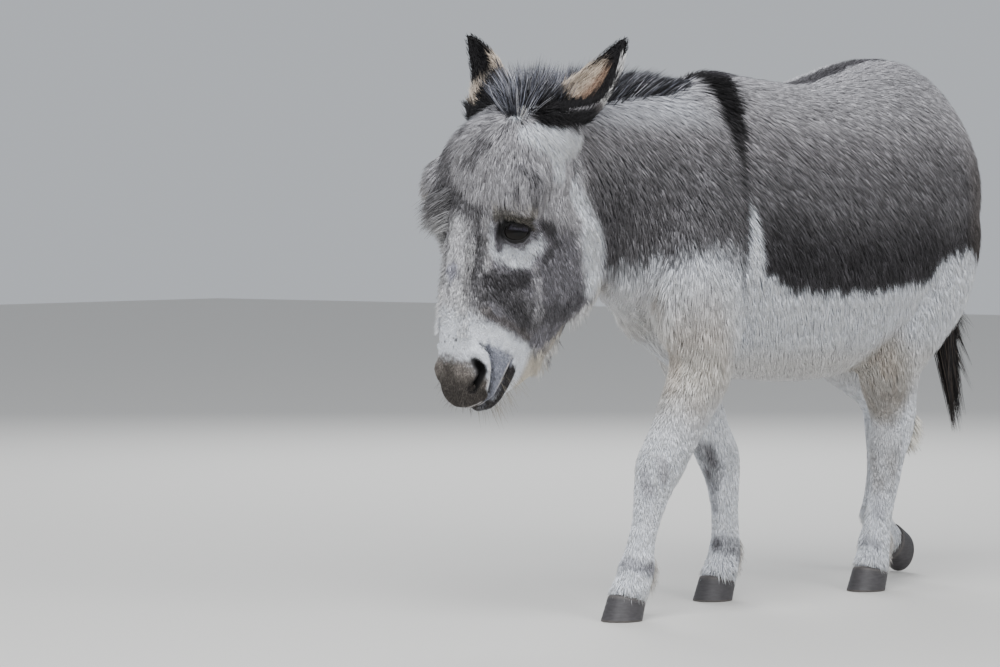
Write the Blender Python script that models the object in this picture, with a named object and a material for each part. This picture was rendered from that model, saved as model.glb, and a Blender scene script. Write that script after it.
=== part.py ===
# A small grey-dun donkey in its winter coat, walking with its head low and turned a
# little to its right. The solids reach out to the tips of the coat.
# Units are metres; +Z is up, the donkey faces -Y and its left side is +X.
import math

import bmesh
import bpy
import numpy as np
from mathutils import Matrix, Vector

# Driving sizes
withers_height = 0.883
croup_height = 0.905
belly_height = 0.358
barrel_half_width = 0.208
body_shift = Vector((0.012, 0.088, 0.0))
fit_gap = 0.0005

# Head: its frame sits on the poll and faces -Y before it is turned
poll = Vector((-0.040, -0.612, 0.802))
head_yaw = math.radians(-7.5)
head_pitch = math.radians(-6.5)
head_roll = math.radians(4.5)
eye_radius = 0.0200
eye_centre = Vector((0.0810, -0.0450, -0.182))

# Mesh fineness
ring_points = 32
path_steps = 4
skin_voxel = 0.0052
smoothing_passes = 7
body_triangles = 5000

# Hooves
hoof_half_width = 0.0315
hoof_half_length = 0.0370
hoof_toe_height = 0.043
hoof_heel_height = 0.026

# Looks: colour and roughness
white_coat = ((0.70, 0.67, 0.62), 0.9)
grey_coat = ((0.24, 0.23, 0.22), 0.9)
neck_coat = ((0.30, 0.29, 0.28), 0.9)
head_coat = ((0.34, 0.32, 0.30), 0.9)
black_hair = ((0.02, 0.02, 0.022), 0.8)
mane_hair = ((0.10, 0.10, 0.10), 0.85)
ear_coat = ((0.16, 0.13, 0.11), 0.9)
hoof_horn = ((0.055, 0.055, 0.058), 0.6)
eye_gloss = ((0.006, 0.005, 0.005), 0.08)

for leftover in list(bpy.data.objects):
    bpy.data.objects.remove(leftover)
scene_objects = bpy.context.scene.collection.objects

head_frame = (
    Matrix.Translation(poll)
    @ Matrix.Rotation(head_yaw, 4, "Z")
    @ Matrix.Rotation(head_pitch, 4, "X")
    @ Matrix.Rotation(head_roll, 4, "Y")
)


# Meshes and objects
def give_material(node, look):
    colour, roughness = look
    made = bpy.data.materials.new(node.name)
    made.use_nodes = True
    shader = made.node_tree.nodes["Principled BSDF"]
    shader.inputs["Base Color"].default_value = (*colour, 1.0)
    shader.inputs["Roughness"].default_value = roughness
    shader.inputs["Metallic"].default_value = 0.0
    made.diffuse_color = (*colour, 1.0)
    node.data.materials.clear()
    node.data.materials.append(made)


def new_object(name, mesh):
    made = bpy.data.objects.new(name, mesh)
    scene_objects.link(made)
    return made


def mesh_from(bm, name):
    bmesh.ops.triangulate(bm, faces=bm.faces[:])
    bmesh.ops.recalc_face_normals(bm, faces=bm.faces[:])
    mesh = bpy.data.meshes.new(name)
    bm.to_mesh(mesh)
    bm.free()
    return mesh


def evaluated_mesh(source, name):
    graph = bpy.context.evaluated_depsgraph_get()
    mesh = bpy.data.meshes.new_from_object(source.evaluated_get(graph))
    mesh.name = name
    return mesh


def mesh_points(mesh):
    flat = np.empty(len(mesh.vertices) * 3)
    mesh.vertices.foreach_get("co", flat)
    return flat.reshape(-1, 3)


def as_cutter(made):
    made.hide_render = True
    made.display_type = "WIRE"
    return made


def boolean(target, cutter, operation):
    step = target.modifiers.new(operation.title() + " " + cutter.name, "BOOLEAN")
    step.operation = operation
    step.solver = "EXACT"
    step.object = cutter
    return step


# A little larger than the source on every side, to leave the fitting gap round it
def grown(source_mesh, name, amount=fit_gap):
    bm = bmesh.new()
    bm.from_mesh(source_mesh)
    bm.normal_update()
    moves = [(vert, vert.normal * amount * vert.calc_shell_factor()) for vert in bm.verts]
    for vert, move in moves:
        vert.co += move
    return as_cutter(new_object(name, mesh_from(bm, name)))


# Smooth curve through rows of numbers, with a few steps between each pair
def through(rows, steps=path_steps):
    rows = np.array(rows, float)
    padded = np.vstack([2 * rows[0] - rows[1], rows, 2 * rows[-1] - rows[-2]])
    made = []
    for before, start, end, after in zip(padded, padded[1:], padded[2:], padded[3:]):
        for t in np.arange(steps) / steps:
            slope_in, slope_out = (end - before) / 2, (after - start) / 2
            made.append(
                (2 * t**3 - 3 * t**2 + 1) * start
                + (t**3 - 2 * t**2 + t) * slope_in
                + (3 * t**2 - 2 * t**3) * end
                + (t**3 - t**2) * slope_out
            )
    made.append(rows[-1])
    return np.array(made)


# Body of egg-shaped rings along a path. A row is the ring's centre, its half width,
# its reach up and down from the centre, and how far it narrows towards each of these.
# Up is the side vector crossed with the path: above a path that runs back (+Y), and
# behind one that runs down. The rings stand square to the path, or to straight.
def loft(bm, rows, frame=None, straight=None, steps=path_steps, points=ring_points):
    stations = through(rows, steps)
    centres = stations[:, :3]
    tangents = np.gradient(centres, axis=0)
    if straight:
        tangents[:] = straight
    rings = []
    for centre, tangent, (half_width, up, down, narrow_up, narrow_down) in zip(
        centres, tangents, stations[:, 3:]
    ):
        along = Vector(tangent).normalized()
        side = (Vector((1, 0, 0)) - along * along.x).normalized()
        rise = side.cross(along)
        ring = []
        for index in range(points):
            angle = 2 * math.pi * index / points
            sine = math.sin(angle)
            reach, narrow = (up, narrow_up) if sine > 0 else (down, narrow_down)
            cosine = math.cos(angle)
            across = half_width * (1 - narrow * sine * sine) * cosine * abs(cosine) ** -0.12
            spot = Vector(centre) + side * across + rise * reach * sine
            ring.append(bm.verts.new(frame @ spot if frame else spot))
        loop = [bm.edges.new((ring[k - 1], ring[k])) for k in range(points)]
        rings.append((ring, loop))
    for (_, loop), (_, next_loop) in zip(rings, rings[1:]):
        bmesh.ops.bridge_loops(bm, edges=loop + next_loop)
    bm.faces.new(rings[0][0])
    bm.faces.new(rings[-1][0])


def mass(bm, centre, radii, frame=None, tilt=0.0):
    shape = (
        Matrix.Translation(Vector(centre))
        @ Matrix.Rotation(tilt, 4, "X")
        @ Matrix.Diagonal((*radii, 1.0))
    )
    bmesh.ops.create_icosphere(
        bm, subdivisions=3, radius=1.0, matrix=frame @ shape if frame else shape
    )


def both_sides(spot):
    return [(side * spot[0], spot[1], spot[2]) for side in (1, -1)]


# Trunk: y, top, widest level, bottom, half width, narrowing at top and bottom
def add_trunk(bm):
    back_low = withers_height - 0.022
    rows = [
        (-0.398, 0.610, 0.575, 0.544, 0.035, 0.1, 0.3),
        (-0.380, 0.680, 0.580, 0.513, 0.074, 0.1, 0.5),
        (-0.335, 0.765, 0.575, 0.460, 0.112, 0.2, 0.5),
        (-0.268, 0.838, 0.575, 0.408, 0.148, 0.35, 0.4),
        (-0.185, withers_height - 0.006, 0.585, 0.376, 0.174, 0.45, 0.25),
        (-0.060, back_low + 0.006, 0.590, 0.366, 0.196, 0.2, 0.15),
        (0.070, back_low, 0.590, belly_height, barrel_half_width, 0.12, 0.1),
        (0.180, croup_height - 0.020, 0.610, 0.370, barrel_half_width, 0.12, 0.1),
        (0.270, croup_height, 0.640, 0.410, 0.200, 0.15, 0.1),
        (0.360, croup_height - 0.003, 0.660, 0.470, 0.184, 0.15, 0.1),
        (0.440, 0.856, 0.670, 0.530, 0.148, 0.15, 0.1),
        (0.490, 0.778, 0.670, 0.590, 0.095, 0.15, 0.1),
    ]
    loft(
        bm,
        [
            (0, y, widest, half_width, top - widest, widest - bottom, narrow_top, narrow_low)
            for y, top, widest, bottom, half_width, narrow_top, narrow_low in rows
        ],
        straight=(0, 1, 0),
    )
    mass(bm, (0.088, -0.305, 0.575), (0.062, 0.100, 0.170), tilt=math.radians(-20))
    mass(bm, (-0.080, -0.204, 0.590), (0.060, 0.096, 0.155), tilt=math.radians(-20))
    for spot in both_sides((0.034, -0.300, 0.530)):
        mass(bm, spot, (0.052, 0.066, 0.090))


# Neck, from behind the ears back into the shoulders
def add_neck(bm):
    loft(
        bm,
        [
            (-0.036, -0.560, 0.715, 0.072, 0.090, 0.105, 0.35, 0.25),
            (-0.032, -0.510, 0.700, 0.082, 0.125, 0.118, 0.40, 0.30),
            (-0.020, -0.440, 0.680, 0.094, 0.156, 0.144, 0.45, 0.30),
            (-0.008, -0.360, 0.660, 0.112, 0.186, 0.171, 0.50, 0.30),
            (0.000, -0.280, 0.640, 0.130, 0.222, 0.192, 0.50, 0.20),
            (0.000, -0.200, 0.630, 0.135, 0.240, 0.200, 0.50, 0.20),
        ],
    )


# Head in its own frame: level below the poll, face front, back, widest place,
# half width, narrowing at the back and the front
def add_head(bm):
    rows = [
        (0.012, -0.020, 0.070, 0.020, 0.050, 0.1, 0.1),
        (-0.015, -0.045, 0.085, 0.020, 0.086, 0.1, 0.1),
        (-0.055, -0.070, 0.095, 0.010, 0.096, 0.2, 0.1),
        (-0.105, -0.088, 0.125, 0.000, 0.101, 0.3, 0.1),
        (-0.150, -0.096, 0.150, 0.005, 0.100, 0.3, 0.2),
        (-0.200, -0.097, 0.166, 0.020, 0.093, 0.3, 0.3),
        (-0.250, -0.096, 0.172, 0.030, 0.084, 0.4, 0.3),
        (-0.300, -0.094, 0.170, 0.020, 0.075, 0.5, 0.22),
        (-0.345, -0.089, 0.160, 0.000, 0.063, 0.65, 0.2),
        (-0.385, -0.081, 0.130, -0.008, 0.052, 0.65, 0.15),
        (-0.420, -0.070, 0.088, -0.015, 0.045, 0.6, 0.1),
        (-0.448, -0.056, 0.030, -0.024, 0.037, 0.3, 0.1),
        (-0.462, -0.042, -0.010, -0.026, 0.022, 0.2, 0.1),
    ]
    loft(
        bm,
        [
            (0, widest, z, half_width, back - widest, widest - front, narrow_back, narrow_front)
            for z, front, back, widest, half_width, narrow_back, narrow_front in rows
        ],
        head_frame,
        straight=(0, 0, -1),
    )
    for spot in both_sides((0.048, 0.068, -0.200)):
        mass(bm, spot, (0.042, 0.100, 0.105), head_frame)
    for spot in both_sides((0.044, 0.108, -0.238)):
        mass(bm, spot, (0.038, 0.072, 0.078), head_frame)
    for spot in both_sides((0.070, -0.038, -0.165)):
        mass(bm, spot, (0.036, 0.036, 0.042), head_frame)
    for spot in both_sides((0.082, -0.048, -0.122)):
        mass(bm, spot, (0.041, 0.042, 0.050), head_frame)
    mass(bm, (0, -0.042, -0.108), (0.100, 0.058, 0.100), head_frame)
    for spot in both_sides((0.070, 0.020, -0.022)):
        mass(bm, spot, (0.038, 0.044, 0.046), head_frame)
    for spot in both_sides((0.031, -0.048, -0.402)):
        mass(bm, spot, (0.023, 0.025, 0.036), head_frame)
    mass(bm, (0, -0.034, -0.440), (0.041, 0.031, 0.031), head_frame)
    mass(bm, (0, 0.010, -0.436), (0.033, 0.030, 0.030), head_frame)


# Limbs from their roots down: the ring's centre, half width, reach back and front
fore_left_path = [
    (0.070, -0.300, 0.660, 0.030, 0.070, 0.050),
    (0.092, -0.335, 0.560, 0.058, 0.098, 0.068),
    (0.098, -0.318, 0.470, 0.058, 0.085, 0.066),
    (0.094, -0.314, 0.405, 0.050, 0.062, 0.054),
    (0.084, -0.328, 0.350, 0.043, 0.050, 0.045),
    (0.072, -0.354, 0.290, 0.039, 0.043, 0.040),
    (0.063, -0.380, 0.240, 0.038, 0.040, 0.040),
    (0.057, -0.391, 0.200, 0.030, 0.031, 0.031),
    (0.051, -0.402, 0.150, 0.023, 0.026, 0.022),
    (0.047, -0.411, 0.110, 0.024, 0.028, 0.023),
    (0.045, -0.416, 0.085, 0.030, 0.034, 0.028),
    (0.045, -0.430, 0.058, 0.027, 0.030, 0.026),
    (0.045, -0.440, 0.038, 0.029, 0.030, 0.028),
    (0.045, -0.446, 0.022, 0.027, 0.028, 0.028),
]
fore_right_path = [
    (-0.065, -0.260, 0.660, 0.030, 0.070, 0.050),
    (-0.084, -0.225, 0.560, 0.058, 0.090, 0.070),
    (-0.080, -0.168, 0.470, 0.050, 0.075, 0.055),
    (-0.072, -0.128, 0.405, 0.043, 0.058, 0.044),
    (-0.066, -0.105, 0.345, 0.039, 0.046, 0.040),
    (-0.060, -0.084, 0.285, 0.037, 0.041, 0.038),
    (-0.052, -0.060, 0.236, 0.036, 0.038, 0.038),
    (-0.047, -0.055, 0.195, 0.029, 0.032, 0.029),
    (-0.042, -0.056, 0.145, 0.024, 0.027, 0.023),
    (-0.040, -0.057, 0.105, 0.024, 0.028, 0.023),
    (-0.040, -0.060, 0.079, 0.028, 0.033, 0.026),
    (-0.038, -0.073, 0.055, 0.026, 0.029, 0.025),
    (-0.036, -0.083, 0.036, 0.029, 0.030, 0.028),
    (-0.036, -0.088, 0.020, 0.027, 0.028, 0.028),
]
hind_left_path = [
    (0.070, 0.300, 0.780, 0.050, 0.100, 0.090),
    (0.098, 0.298, 0.650, 0.088, 0.160, 0.150),
    (0.104, 0.278, 0.540, 0.080, 0.155, 0.145),
    (0.100, 0.255, 0.460, 0.068, 0.115, 0.120),
    (0.090, 0.245, 0.390, 0.051, 0.080, 0.082),
    (0.078, 0.266, 0.330, 0.039, 0.056, 0.054),
    (0.070, 0.280, 0.285, 0.036, 0.052, 0.042),
    (0.067, 0.272, 0.240, 0.032, 0.038, 0.035),
    (0.065, 0.262, 0.175, 0.025, 0.029, 0.026),
    (0.062, 0.247, 0.112, 0.024, 0.027, 0.025),
    (0.061, 0.239, 0.080, 0.029, 0.032, 0.028),
    (0.064, 0.227, 0.056, 0.026, 0.029, 0.025),
    (0.067, 0.219, 0.037, 0.029, 0.030, 0.028),
    (0.068, 0.214, 0.021, 0.027, 0.028, 0.028),
]
hind_right_path = [
    (-0.070, 0.320, 0.780, 0.050, 0.100, 0.090),
    (-0.098, 0.320, 0.650, 0.088, 0.160, 0.155),
    (-0.104, 0.330, 0.545, 0.080, 0.150, 0.150),
    (-0.102, 0.355, 0.470, 0.067, 0.115, 0.125),
    (-0.097, 0.405, 0.405, 0.050, 0.080, 0.082),
    (-0.092, 0.462, 0.350, 0.039, 0.054, 0.056),
    (-0.088, 0.488, 0.305, 0.036, 0.050, 0.044),
    (-0.086, 0.486, 0.255, 0.031, 0.038, 0.034),
    (-0.084, 0.478, 0.190, 0.025, 0.029, 0.026),
    (-0.084, 0.466, 0.135, 0.024, 0.027, 0.025),
    (-0.084, 0.461, 0.108, 0.029, 0.032, 0.029),
    (-0.084, 0.474, 0.085, 0.026, 0.027, 0.027),
    (-0.084, 0.494, 0.069, 0.029, 0.026, 0.029),
    (-0.084, 0.516, 0.060, 0.026, 0.025, 0.027),
]
limb_paths = {
    "fore_left": fore_left_path,
    "fore_right": fore_right_path,
    "hind_left": hind_left_path,
    "hind_right": hind_right_path,
}


def add_limbs(bm):
    for path in limb_paths.values():
        loft(bm, [(*row, 0.0, 0.0) for row in path])


# Smooth dents and swellings in the head's own frame
def shape_head(points):
    to_head = np.array(head_frame.inverted())
    from_head = np.array(head_frame)
    local = points @ to_head[:3, :3].T + to_head[:3, 3]

    def push(centre, radii, move):
        for side in (1, -1):
            middle = np.array((side * centre[0], centre[1], centre[2]))
            step = np.array((side * move[0], move[1], move[2]))
            spread = np.exp(-np.sum(((local - middle) / radii) ** 2, axis=1))
            local[:] += spread[:, None] * step

    # Hollow in front of and below the eye, and the temple behind it
    push((0.088, -0.055, -0.240), (0.034, 0.036, 0.044), (-0.005, 0.003, 0.0))
    push((0.094, 0.020, -0.120), (0.024, 0.028, 0.030), (-0.006, 0.0, 0.0))
    # Rims above and below the eyeball
    push((0.094, -0.050, -0.160), (0.018, 0.030, 0.010), (0.005, -0.004, 0.0))
    push((0.092, -0.048, -0.204), (0.018, 0.026, 0.010), (0.002, -0.001, 0.0))
    # Nostrils: a comma-shaped pit with a raised outer wing
    push((0.047, -0.062, -0.398), (0.010, 0.012, 0.015), (-0.014, 0.010, 0.004))
    push((0.056, -0.040, -0.400), (0.010, 0.010, 0.018), (0.004, 0.0, 0.0))
    # Mouth: a groove from each corner down to the front of the lips
    corner = np.array((0.012, -0.382))
    front = np.array((-0.030, -0.470))
    along = (front - corner) / np.linalg.norm(front - corner)
    away = np.array((-along[1], along[0]))
    offset = local[:, 1:] - corner
    run = offset @ along
    across = offset @ away
    slit = np.exp(-((across / 0.0050) ** 2)) * np.clip(run / 0.02 + 1, 0, 1)
    slit *= (run < 0.14) & (local[:, 2] < -0.36)
    inward = np.stack([local[:, 0], local[:, 1] + 0.010], axis=1)
    inward /= np.linalg.norm(inward, axis=1)[:, None]
    local[:, :2] -= 0.010 * slit[:, None] * inward
    return local @ from_head[:3, :3].T + from_head[:3, 3]


# The whole animal as one smooth closed skin
def whole_body():
    bm = bmesh.new()
    add_trunk(bm)
    add_neck(bm)
    add_head(bm)
    add_limbs(bm)
    rough = new_object("rough_body", mesh_from(bm, "rough_body"))
    remesh = rough.modifiers.new("One skin", "REMESH")
    remesh.mode = "VOXEL"
    remesh.voxel_size = skin_voxel
    smooth = rough.modifiers.new("Soften joins", "SMOOTH")
    smooth.iterations = smoothing_passes
    fine = evaluated_mesh(rough, "fine_body")
    bpy.data.objects.remove(rough)
    shaped = shape_head(mesh_points(fine))
    fine.vertices.foreach_set("co", shaped.ravel())
    fine.update()

    body = new_object("fine_body", fine)
    decimate = body.modifiers.new("Plain facets", "DECIMATE")
    decimate.ratio = body_triangles / sum(len(face.vertices) - 2 for face in fine.polygons)
    decimate.use_collapse_triangulate = True
    reduced = evaluated_mesh(body, "body")
    bpy.data.objects.remove(body)
    return reduced


# Prism over an outline in the side view, given as (y, z) corners
def side_prism(name, outline, frame=None, half_width=0.40):
    bm = bmesh.new()
    face = bm.faces.new([bm.verts.new((-half_width, y, z)) for y, z in outline])
    swept = bmesh.ops.extrude_face_region(bm, geom=[face])
    verts = [item for item in swept["geom"] if isinstance(item, bmesh.types.BMVert)]
    bmesh.ops.translate(bm, verts=verts, vec=(2 * half_width, 0, 0))
    if frame:
        bmesh.ops.transform(bm, matrix=frame, verts=bm.verts[:])
    return as_cutter(new_object(name, mesh_from(bm, name)))


# Wide sleeve round a limb, from a level on its path down past its end
def limb_sleeve(name, path, first, sizes):
    bm = bmesh.new()
    rows = []
    for index, (x, y, z, half_width, back, front) in enumerate(path[first:]):
        wide, deep = sizes if index == 0 else (half_width + 0.022, back + 0.028)
        rows.append((x, y, z, wide, deep, max(deep, front + 0.028), 0.0, 0.0))
    tip = list(rows[-1])
    tip[1] += (rows[-1][1] - rows[-2][1]) * 3
    tip[2] += (rows[-1][2] - rows[-2][2]) * 3
    rows.append(tuple(tip))
    loft(bm, rows, steps=1, points=20)
    return as_cutter(new_object(name, mesh_from(bm, name)))


# Hoof: wall from the coronet down to a flat sole, toe towards -Y
def hoof_mesh(name, frame, points=16):
    bm = bmesh.new()
    rings = []
    for level, spread, slide in ((0.0, 1.0, 0.0), (0.90, 0.91, 0.40), (1.0, 0.84, 0.47)):
        ring = []
        for index in range(points):
            angle = 2 * math.pi * index / points
            toe = 0.5 - 0.5 * math.sin(angle)
            height = hoof_heel_height + (hoof_toe_height - hoof_heel_height) * toe
            x = hoof_half_width * spread * math.cos(angle)
            y = hoof_half_length * spread * math.sin(angle) + slide * hoof_half_width
            ring.append(bm.verts.new((x, y, level * height)))
        rings.append((ring, [bm.edges.new((ring[k - 1], ring[k])) for k in range(points)]))
    for (_, loop), (_, next_loop) in zip(rings, rings[1:]):
        bmesh.ops.bridge_loops(bm, edges=loop + next_loop)
    bm.faces.new(rings[0][0])
    bm.faces.new(rings[-1][0])
    bmesh.ops.transform(bm, matrix=frame, verts=bm.verts[:])
    # A tipped toe wears a small flat where it meets the ground
    below = [vert for vert in bm.verts if vert.co.z < 0]
    for vert in below:
        vert.co.z = 0.0
    return mesh_from(bm, name)


# Ear: a cupped shell on a bent line from its root to its tip, open towards facing
def ear_mesh(name, root, reach, facing):
    bm = bmesh.new()
    along = reach.normalized()
    front = (facing - along * facing.dot(along)).normalized()
    side = along.cross(front)
    rows = [
        (-0.10, 0.026, 0.024, 150, 0.0080),
        (0.04, 0.035, 0.031, 140, 0.0080),
        (0.18, 0.041, 0.032, 122, 0.0075),
        (0.36, 0.043, 0.029, 108, 0.0070),
        (0.55, 0.039, 0.024, 100, 0.0065),
        (0.74, 0.030, 0.017, 95, 0.0060),
        (0.90, 0.017, 0.011, 92, 0.0050),
        (1.00, 0.0050, 0.0050, 90, 0.0030),
    ]
    arc_points = 6
    rings = []
    for share, half_width, depth, wrap, thickness in rows:
        bend = 0.02 * math.sin(math.pi * max(share, 0.0))
        centre = root + reach * share - front * bend
        ring = []
        for layer, order in ((0.0, range(arc_points)), (thickness, range(arc_points)[::-1])):
            for index in order:
                angle = math.radians(wrap) * (2 * index / (arc_points - 1) - 1)
                across = (half_width - layer) * math.sin(angle)
                back = (depth - layer) * math.cos(angle)
                ring.append(bm.verts.new(centre + side * across - front * back))
        rings.append((ring, [bm.edges.new((ring[k - 1], ring[k])) for k in range(len(ring))]))
    for (ring, _), (next_ring, _) in zip(rings, rings[1:]):
        for k in range(len(ring)):
            bm.faces.new((ring[k - 1], ring[k], next_ring[k], next_ring[k - 1]))
    bm.faces.new(rings[0][0])
    bm.faces.new(rings[-1][0])
    return mesh_from(bm, name)


def loft_mesh(name, rows, points, steps=2):
    bm = bmesh.new()
    loft(bm, rows, steps=steps, points=points)
    return mesh_from(bm, name)


body_mesh = whole_body()
grown_body = grown(body_mesh, "grown_body")


def flesh_node(name, look):
    node = new_object(name, body_mesh.copy())
    give_material(node, look)
    return node


# Takes the cuts as they are and drops any crumb that a grazing cut left behind
def settle(node):
    mesh = evaluated_mesh(node, node.name)
    node.modifiers.clear()
    node.data = mesh
    bm = bmesh.new()
    bm.from_mesh(mesh)
    unseen = set(bm.verts)
    islands = []
    while unseen:
        island, edge_of_island = set(), [unseen.pop()]
        while edge_of_island:
            vert = edge_of_island.pop()
            island.add(vert)
            fresh = {edge.other_vert(vert) for edge in vert.link_edges} & unseen
            unseen -= fresh
            edge_of_island.extend(fresh)
        islands.append(island)
    largest = max(islands, key=len)
    crumbs = [vert for island in islands if island is not largest for vert in island]
    bmesh.ops.delete(bm, geom=crumbs, context="VERTS")
    bm.to_mesh(mesh)
    bm.free()


# Where the head ends behind the jaw and the ears, and where the neck meets the trunk
head_outline = [(0.075, 0.10), (0.080, 0.02), (0.105, -0.07), (0.160, -0.125), (0.180, -0.20),
                (0.178, -0.27), (0.145, -0.36), (0.100, -0.44), (0.050, -0.52), (-0.200, -0.52),
                (-0.200, 0.10)]
neck_outline = [(-0.700, 0.950), (-0.700, 0.400), (-0.430, 0.470), (-0.395, 0.550),
                (-0.335, 0.690), (-0.235, 0.950)]
head_region = side_prism("head_region", head_outline, head_frame)
neck_region = side_prism("neck_region", neck_outline)
head_gap = grown(head_region.data, "head_gap")
neck_gap = grown(neck_region.data, "neck_gap")

head = flesh_node("head", head_coat)
boolean(head, head_region, "INTERSECT")
neck = flesh_node("neck", neck_coat)
boolean(neck, neck_region, "INTERSECT")
boolean(neck, head_gap, "DIFFERENCE")
trunk = flesh_node("trunk", grey_coat)
boolean(trunk, head_gap, "DIFFERENCE")
boolean(trunk, neck_gap, "DIFFERENCE")

# Eyes in their sockets
for side, side_name in ((1, "left"), (-1, "right")):
    middle = head_frame @ Vector((side * eye_centre.x, eye_centre.y, eye_centre.z))
    for name, radius in (("eye_" + side_name, eye_radius),
                         ("socket_" + side_name, eye_radius + fit_gap)):
        bm = bmesh.new()
        bmesh.ops.create_icosphere(bm, subdivisions=2, radius=radius)
        ball = new_object(name, mesh_from(bm, name))
        ball.location = middle
        ball.data.shade_smooth()
        give_material(ball, eye_gloss)
    boolean(head, as_cutter(ball), "DIFFERENCE")

# Hooves, each with the leg above it
sole_places = {
    "fore_left": Matrix.Translation((0.045, -0.455, 0.0)),
    "fore_right": Matrix.Translation((-0.036, -0.097, 0.0)),
    "hind_left": Matrix.Translation((0.068, 0.204, 0.0)),
    "hind_right": Matrix.Translation((-0.084, 0.541, 0.0362))
    @ Matrix.Rotation(math.radians(82), 4, "X"),
}
sleeve_tops = {
    "fore_left": (2, (0.080, 0.125)),
    "fore_right": (2, (0.080, 0.115)),
    "hind_left": (2, (0.102, 0.190)),
    "hind_right": (2, (0.102, 0.190)),
}
for leg_name, path in limb_paths.items():
    first, sizes = sleeve_tops[leg_name]
    sleeve = limb_sleeve("sleeve_" + leg_name, path, first, sizes)
    leg = flesh_node("leg_" + leg_name, white_coat)
    boolean(leg, sleeve, "INTERSECT")
    boolean(trunk, grown(sleeve.data, "gap_" + leg_name), "DIFFERENCE")
    horn = hoof_mesh("hoof_" + leg_name, sole_places[leg_name])
    hoof = new_object("hoof_" + leg_name, horn)
    give_material(hoof, hoof_horn)
    boolean(leg, grown(horn, "bed_" + leg_name), "DIFFERENCE")

# Ears
ear_placing = {
    "left": (
        Vector((0.068, 0.022, 0.000)),
        Vector((0.022, 0.143, 0.122)),
        Vector((0.3, -1.0, 0.2)),
    ),
    "right": (
        Vector((-0.093, 0.018, -0.002)),
        Vector((-0.106, 0.088, 0.122)),
        Vector((-0.2, -1.0, 0.2)),
    ),
}
ear_meshes = {}
for side_name, (root, reach, facing) in ear_placing.items():
    shell = ear_mesh("ear_" + side_name, head_frame @ root, reach, facing)
    ear = new_object("ear_" + side_name, shell)
    give_material(ear, ear_coat)
    boolean(ear, grown_body, "DIFFERENCE")
    ear_meshes[side_name] = shell

# Mane from between the ears to the withers
mane_rows = [
    (-0.040, -0.635, 0.792, 0.016, 0.024, 0.020, 0.3, 0.0),
    (-0.038, -0.600, 0.800, 0.020, 0.056, 0.030, 0.4, 0.0),
    (-0.036, -0.540, 0.812, 0.022, 0.073, 0.035, 0.5, 0.0),
    (-0.030, -0.460, 0.822, 0.021, 0.069, 0.035, 0.5, 0.0),
    (-0.018, -0.370, 0.834, 0.019, 0.058, 0.035, 0.5, 0.0),
    (-0.005, -0.285, 0.853, 0.016, 0.039, 0.030, 0.5, 0.0),
    (0.000, -0.215, 0.864, 0.010, 0.020, 0.020, 0.4, 0.0),
]
mane = new_object("mane", loft_mesh("mane", mane_rows, 10, 1))
give_material(mane, mane_hair)
boolean(mane, grown_body, "DIFFERENCE")
for side_name, shell in ear_meshes.items():
    boolean(mane, grown(shell, "ear_gap_" + side_name), "DIFFERENCE")

# Tail: the dock, and the black tuft hung from its end
dock_rows = [
    (0.000, 0.430, 0.800, 0.022, 0.020, 0.020, 0.0, 0.0),
    (0.000, 0.474, 0.792, 0.023, 0.020, 0.020, 0.0, 0.0),
    (0.000, 0.502, 0.745, 0.021, 0.018, 0.018, 0.0, 0.0),
    (0.000, 0.514, 0.680, 0.018, 0.016, 0.016, 0.0, 0.0),
    (0.001, 0.518, 0.600, 0.016, 0.015, 0.015, 0.0, 0.0),
    (0.002, 0.520, 0.535, 0.014, 0.013, 0.013, 0.0, 0.0),
    (0.002, 0.520, 0.520, 0.014, 0.013, 0.013, 0.0, 0.0),
]
tuft_rows = [
    (0.002, 0.520, 0.520 - fit_gap, 0.014, 0.013, 0.013, 0.0, 0.0),
    (0.002, 0.520, 0.508, 0.016, 0.015, 0.015, 0.0, 0.0),
    (0.004, 0.524, 0.470, 0.022, 0.020, 0.020, 0.0, 0.0),
    (0.009, 0.533, 0.400, 0.024, 0.021, 0.021, 0.0, 0.0),
    (0.015, 0.545, 0.330, 0.017, 0.015, 0.015, 0.0, 0.0),
    (0.020, 0.556, 0.250, 0.003, 0.003, 0.003, 0.0, 0.0),
]
tail = new_object("tail", loft_mesh("tail", dock_rows, 10))
give_material(tail, grey_coat)
boolean(tail, grown_body, "DIFFERENCE")
tail_tuft = new_object("tail_tuft", loft_mesh("tail_tuft", tuft_rows, 10))
give_material(tail_tuft, black_hair)
boolean(tail_tuft, grown_body, "DIFFERENCE")

for node in [placed for placed in scene_objects if placed.modifiers]:
    settle(node)
for placed in list(scene_objects):
    if placed.hide_render:
        bpy.data.objects.remove(placed)
    else:
        placed.location += body_shift
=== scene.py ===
import math
from functools import partial

import bmesh
import bpy
import numpy as np
from mathutils import Matrix, Vector
from mathutils.bvhtree import BVHTree
from mathutils.kdtree import KDTree


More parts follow.
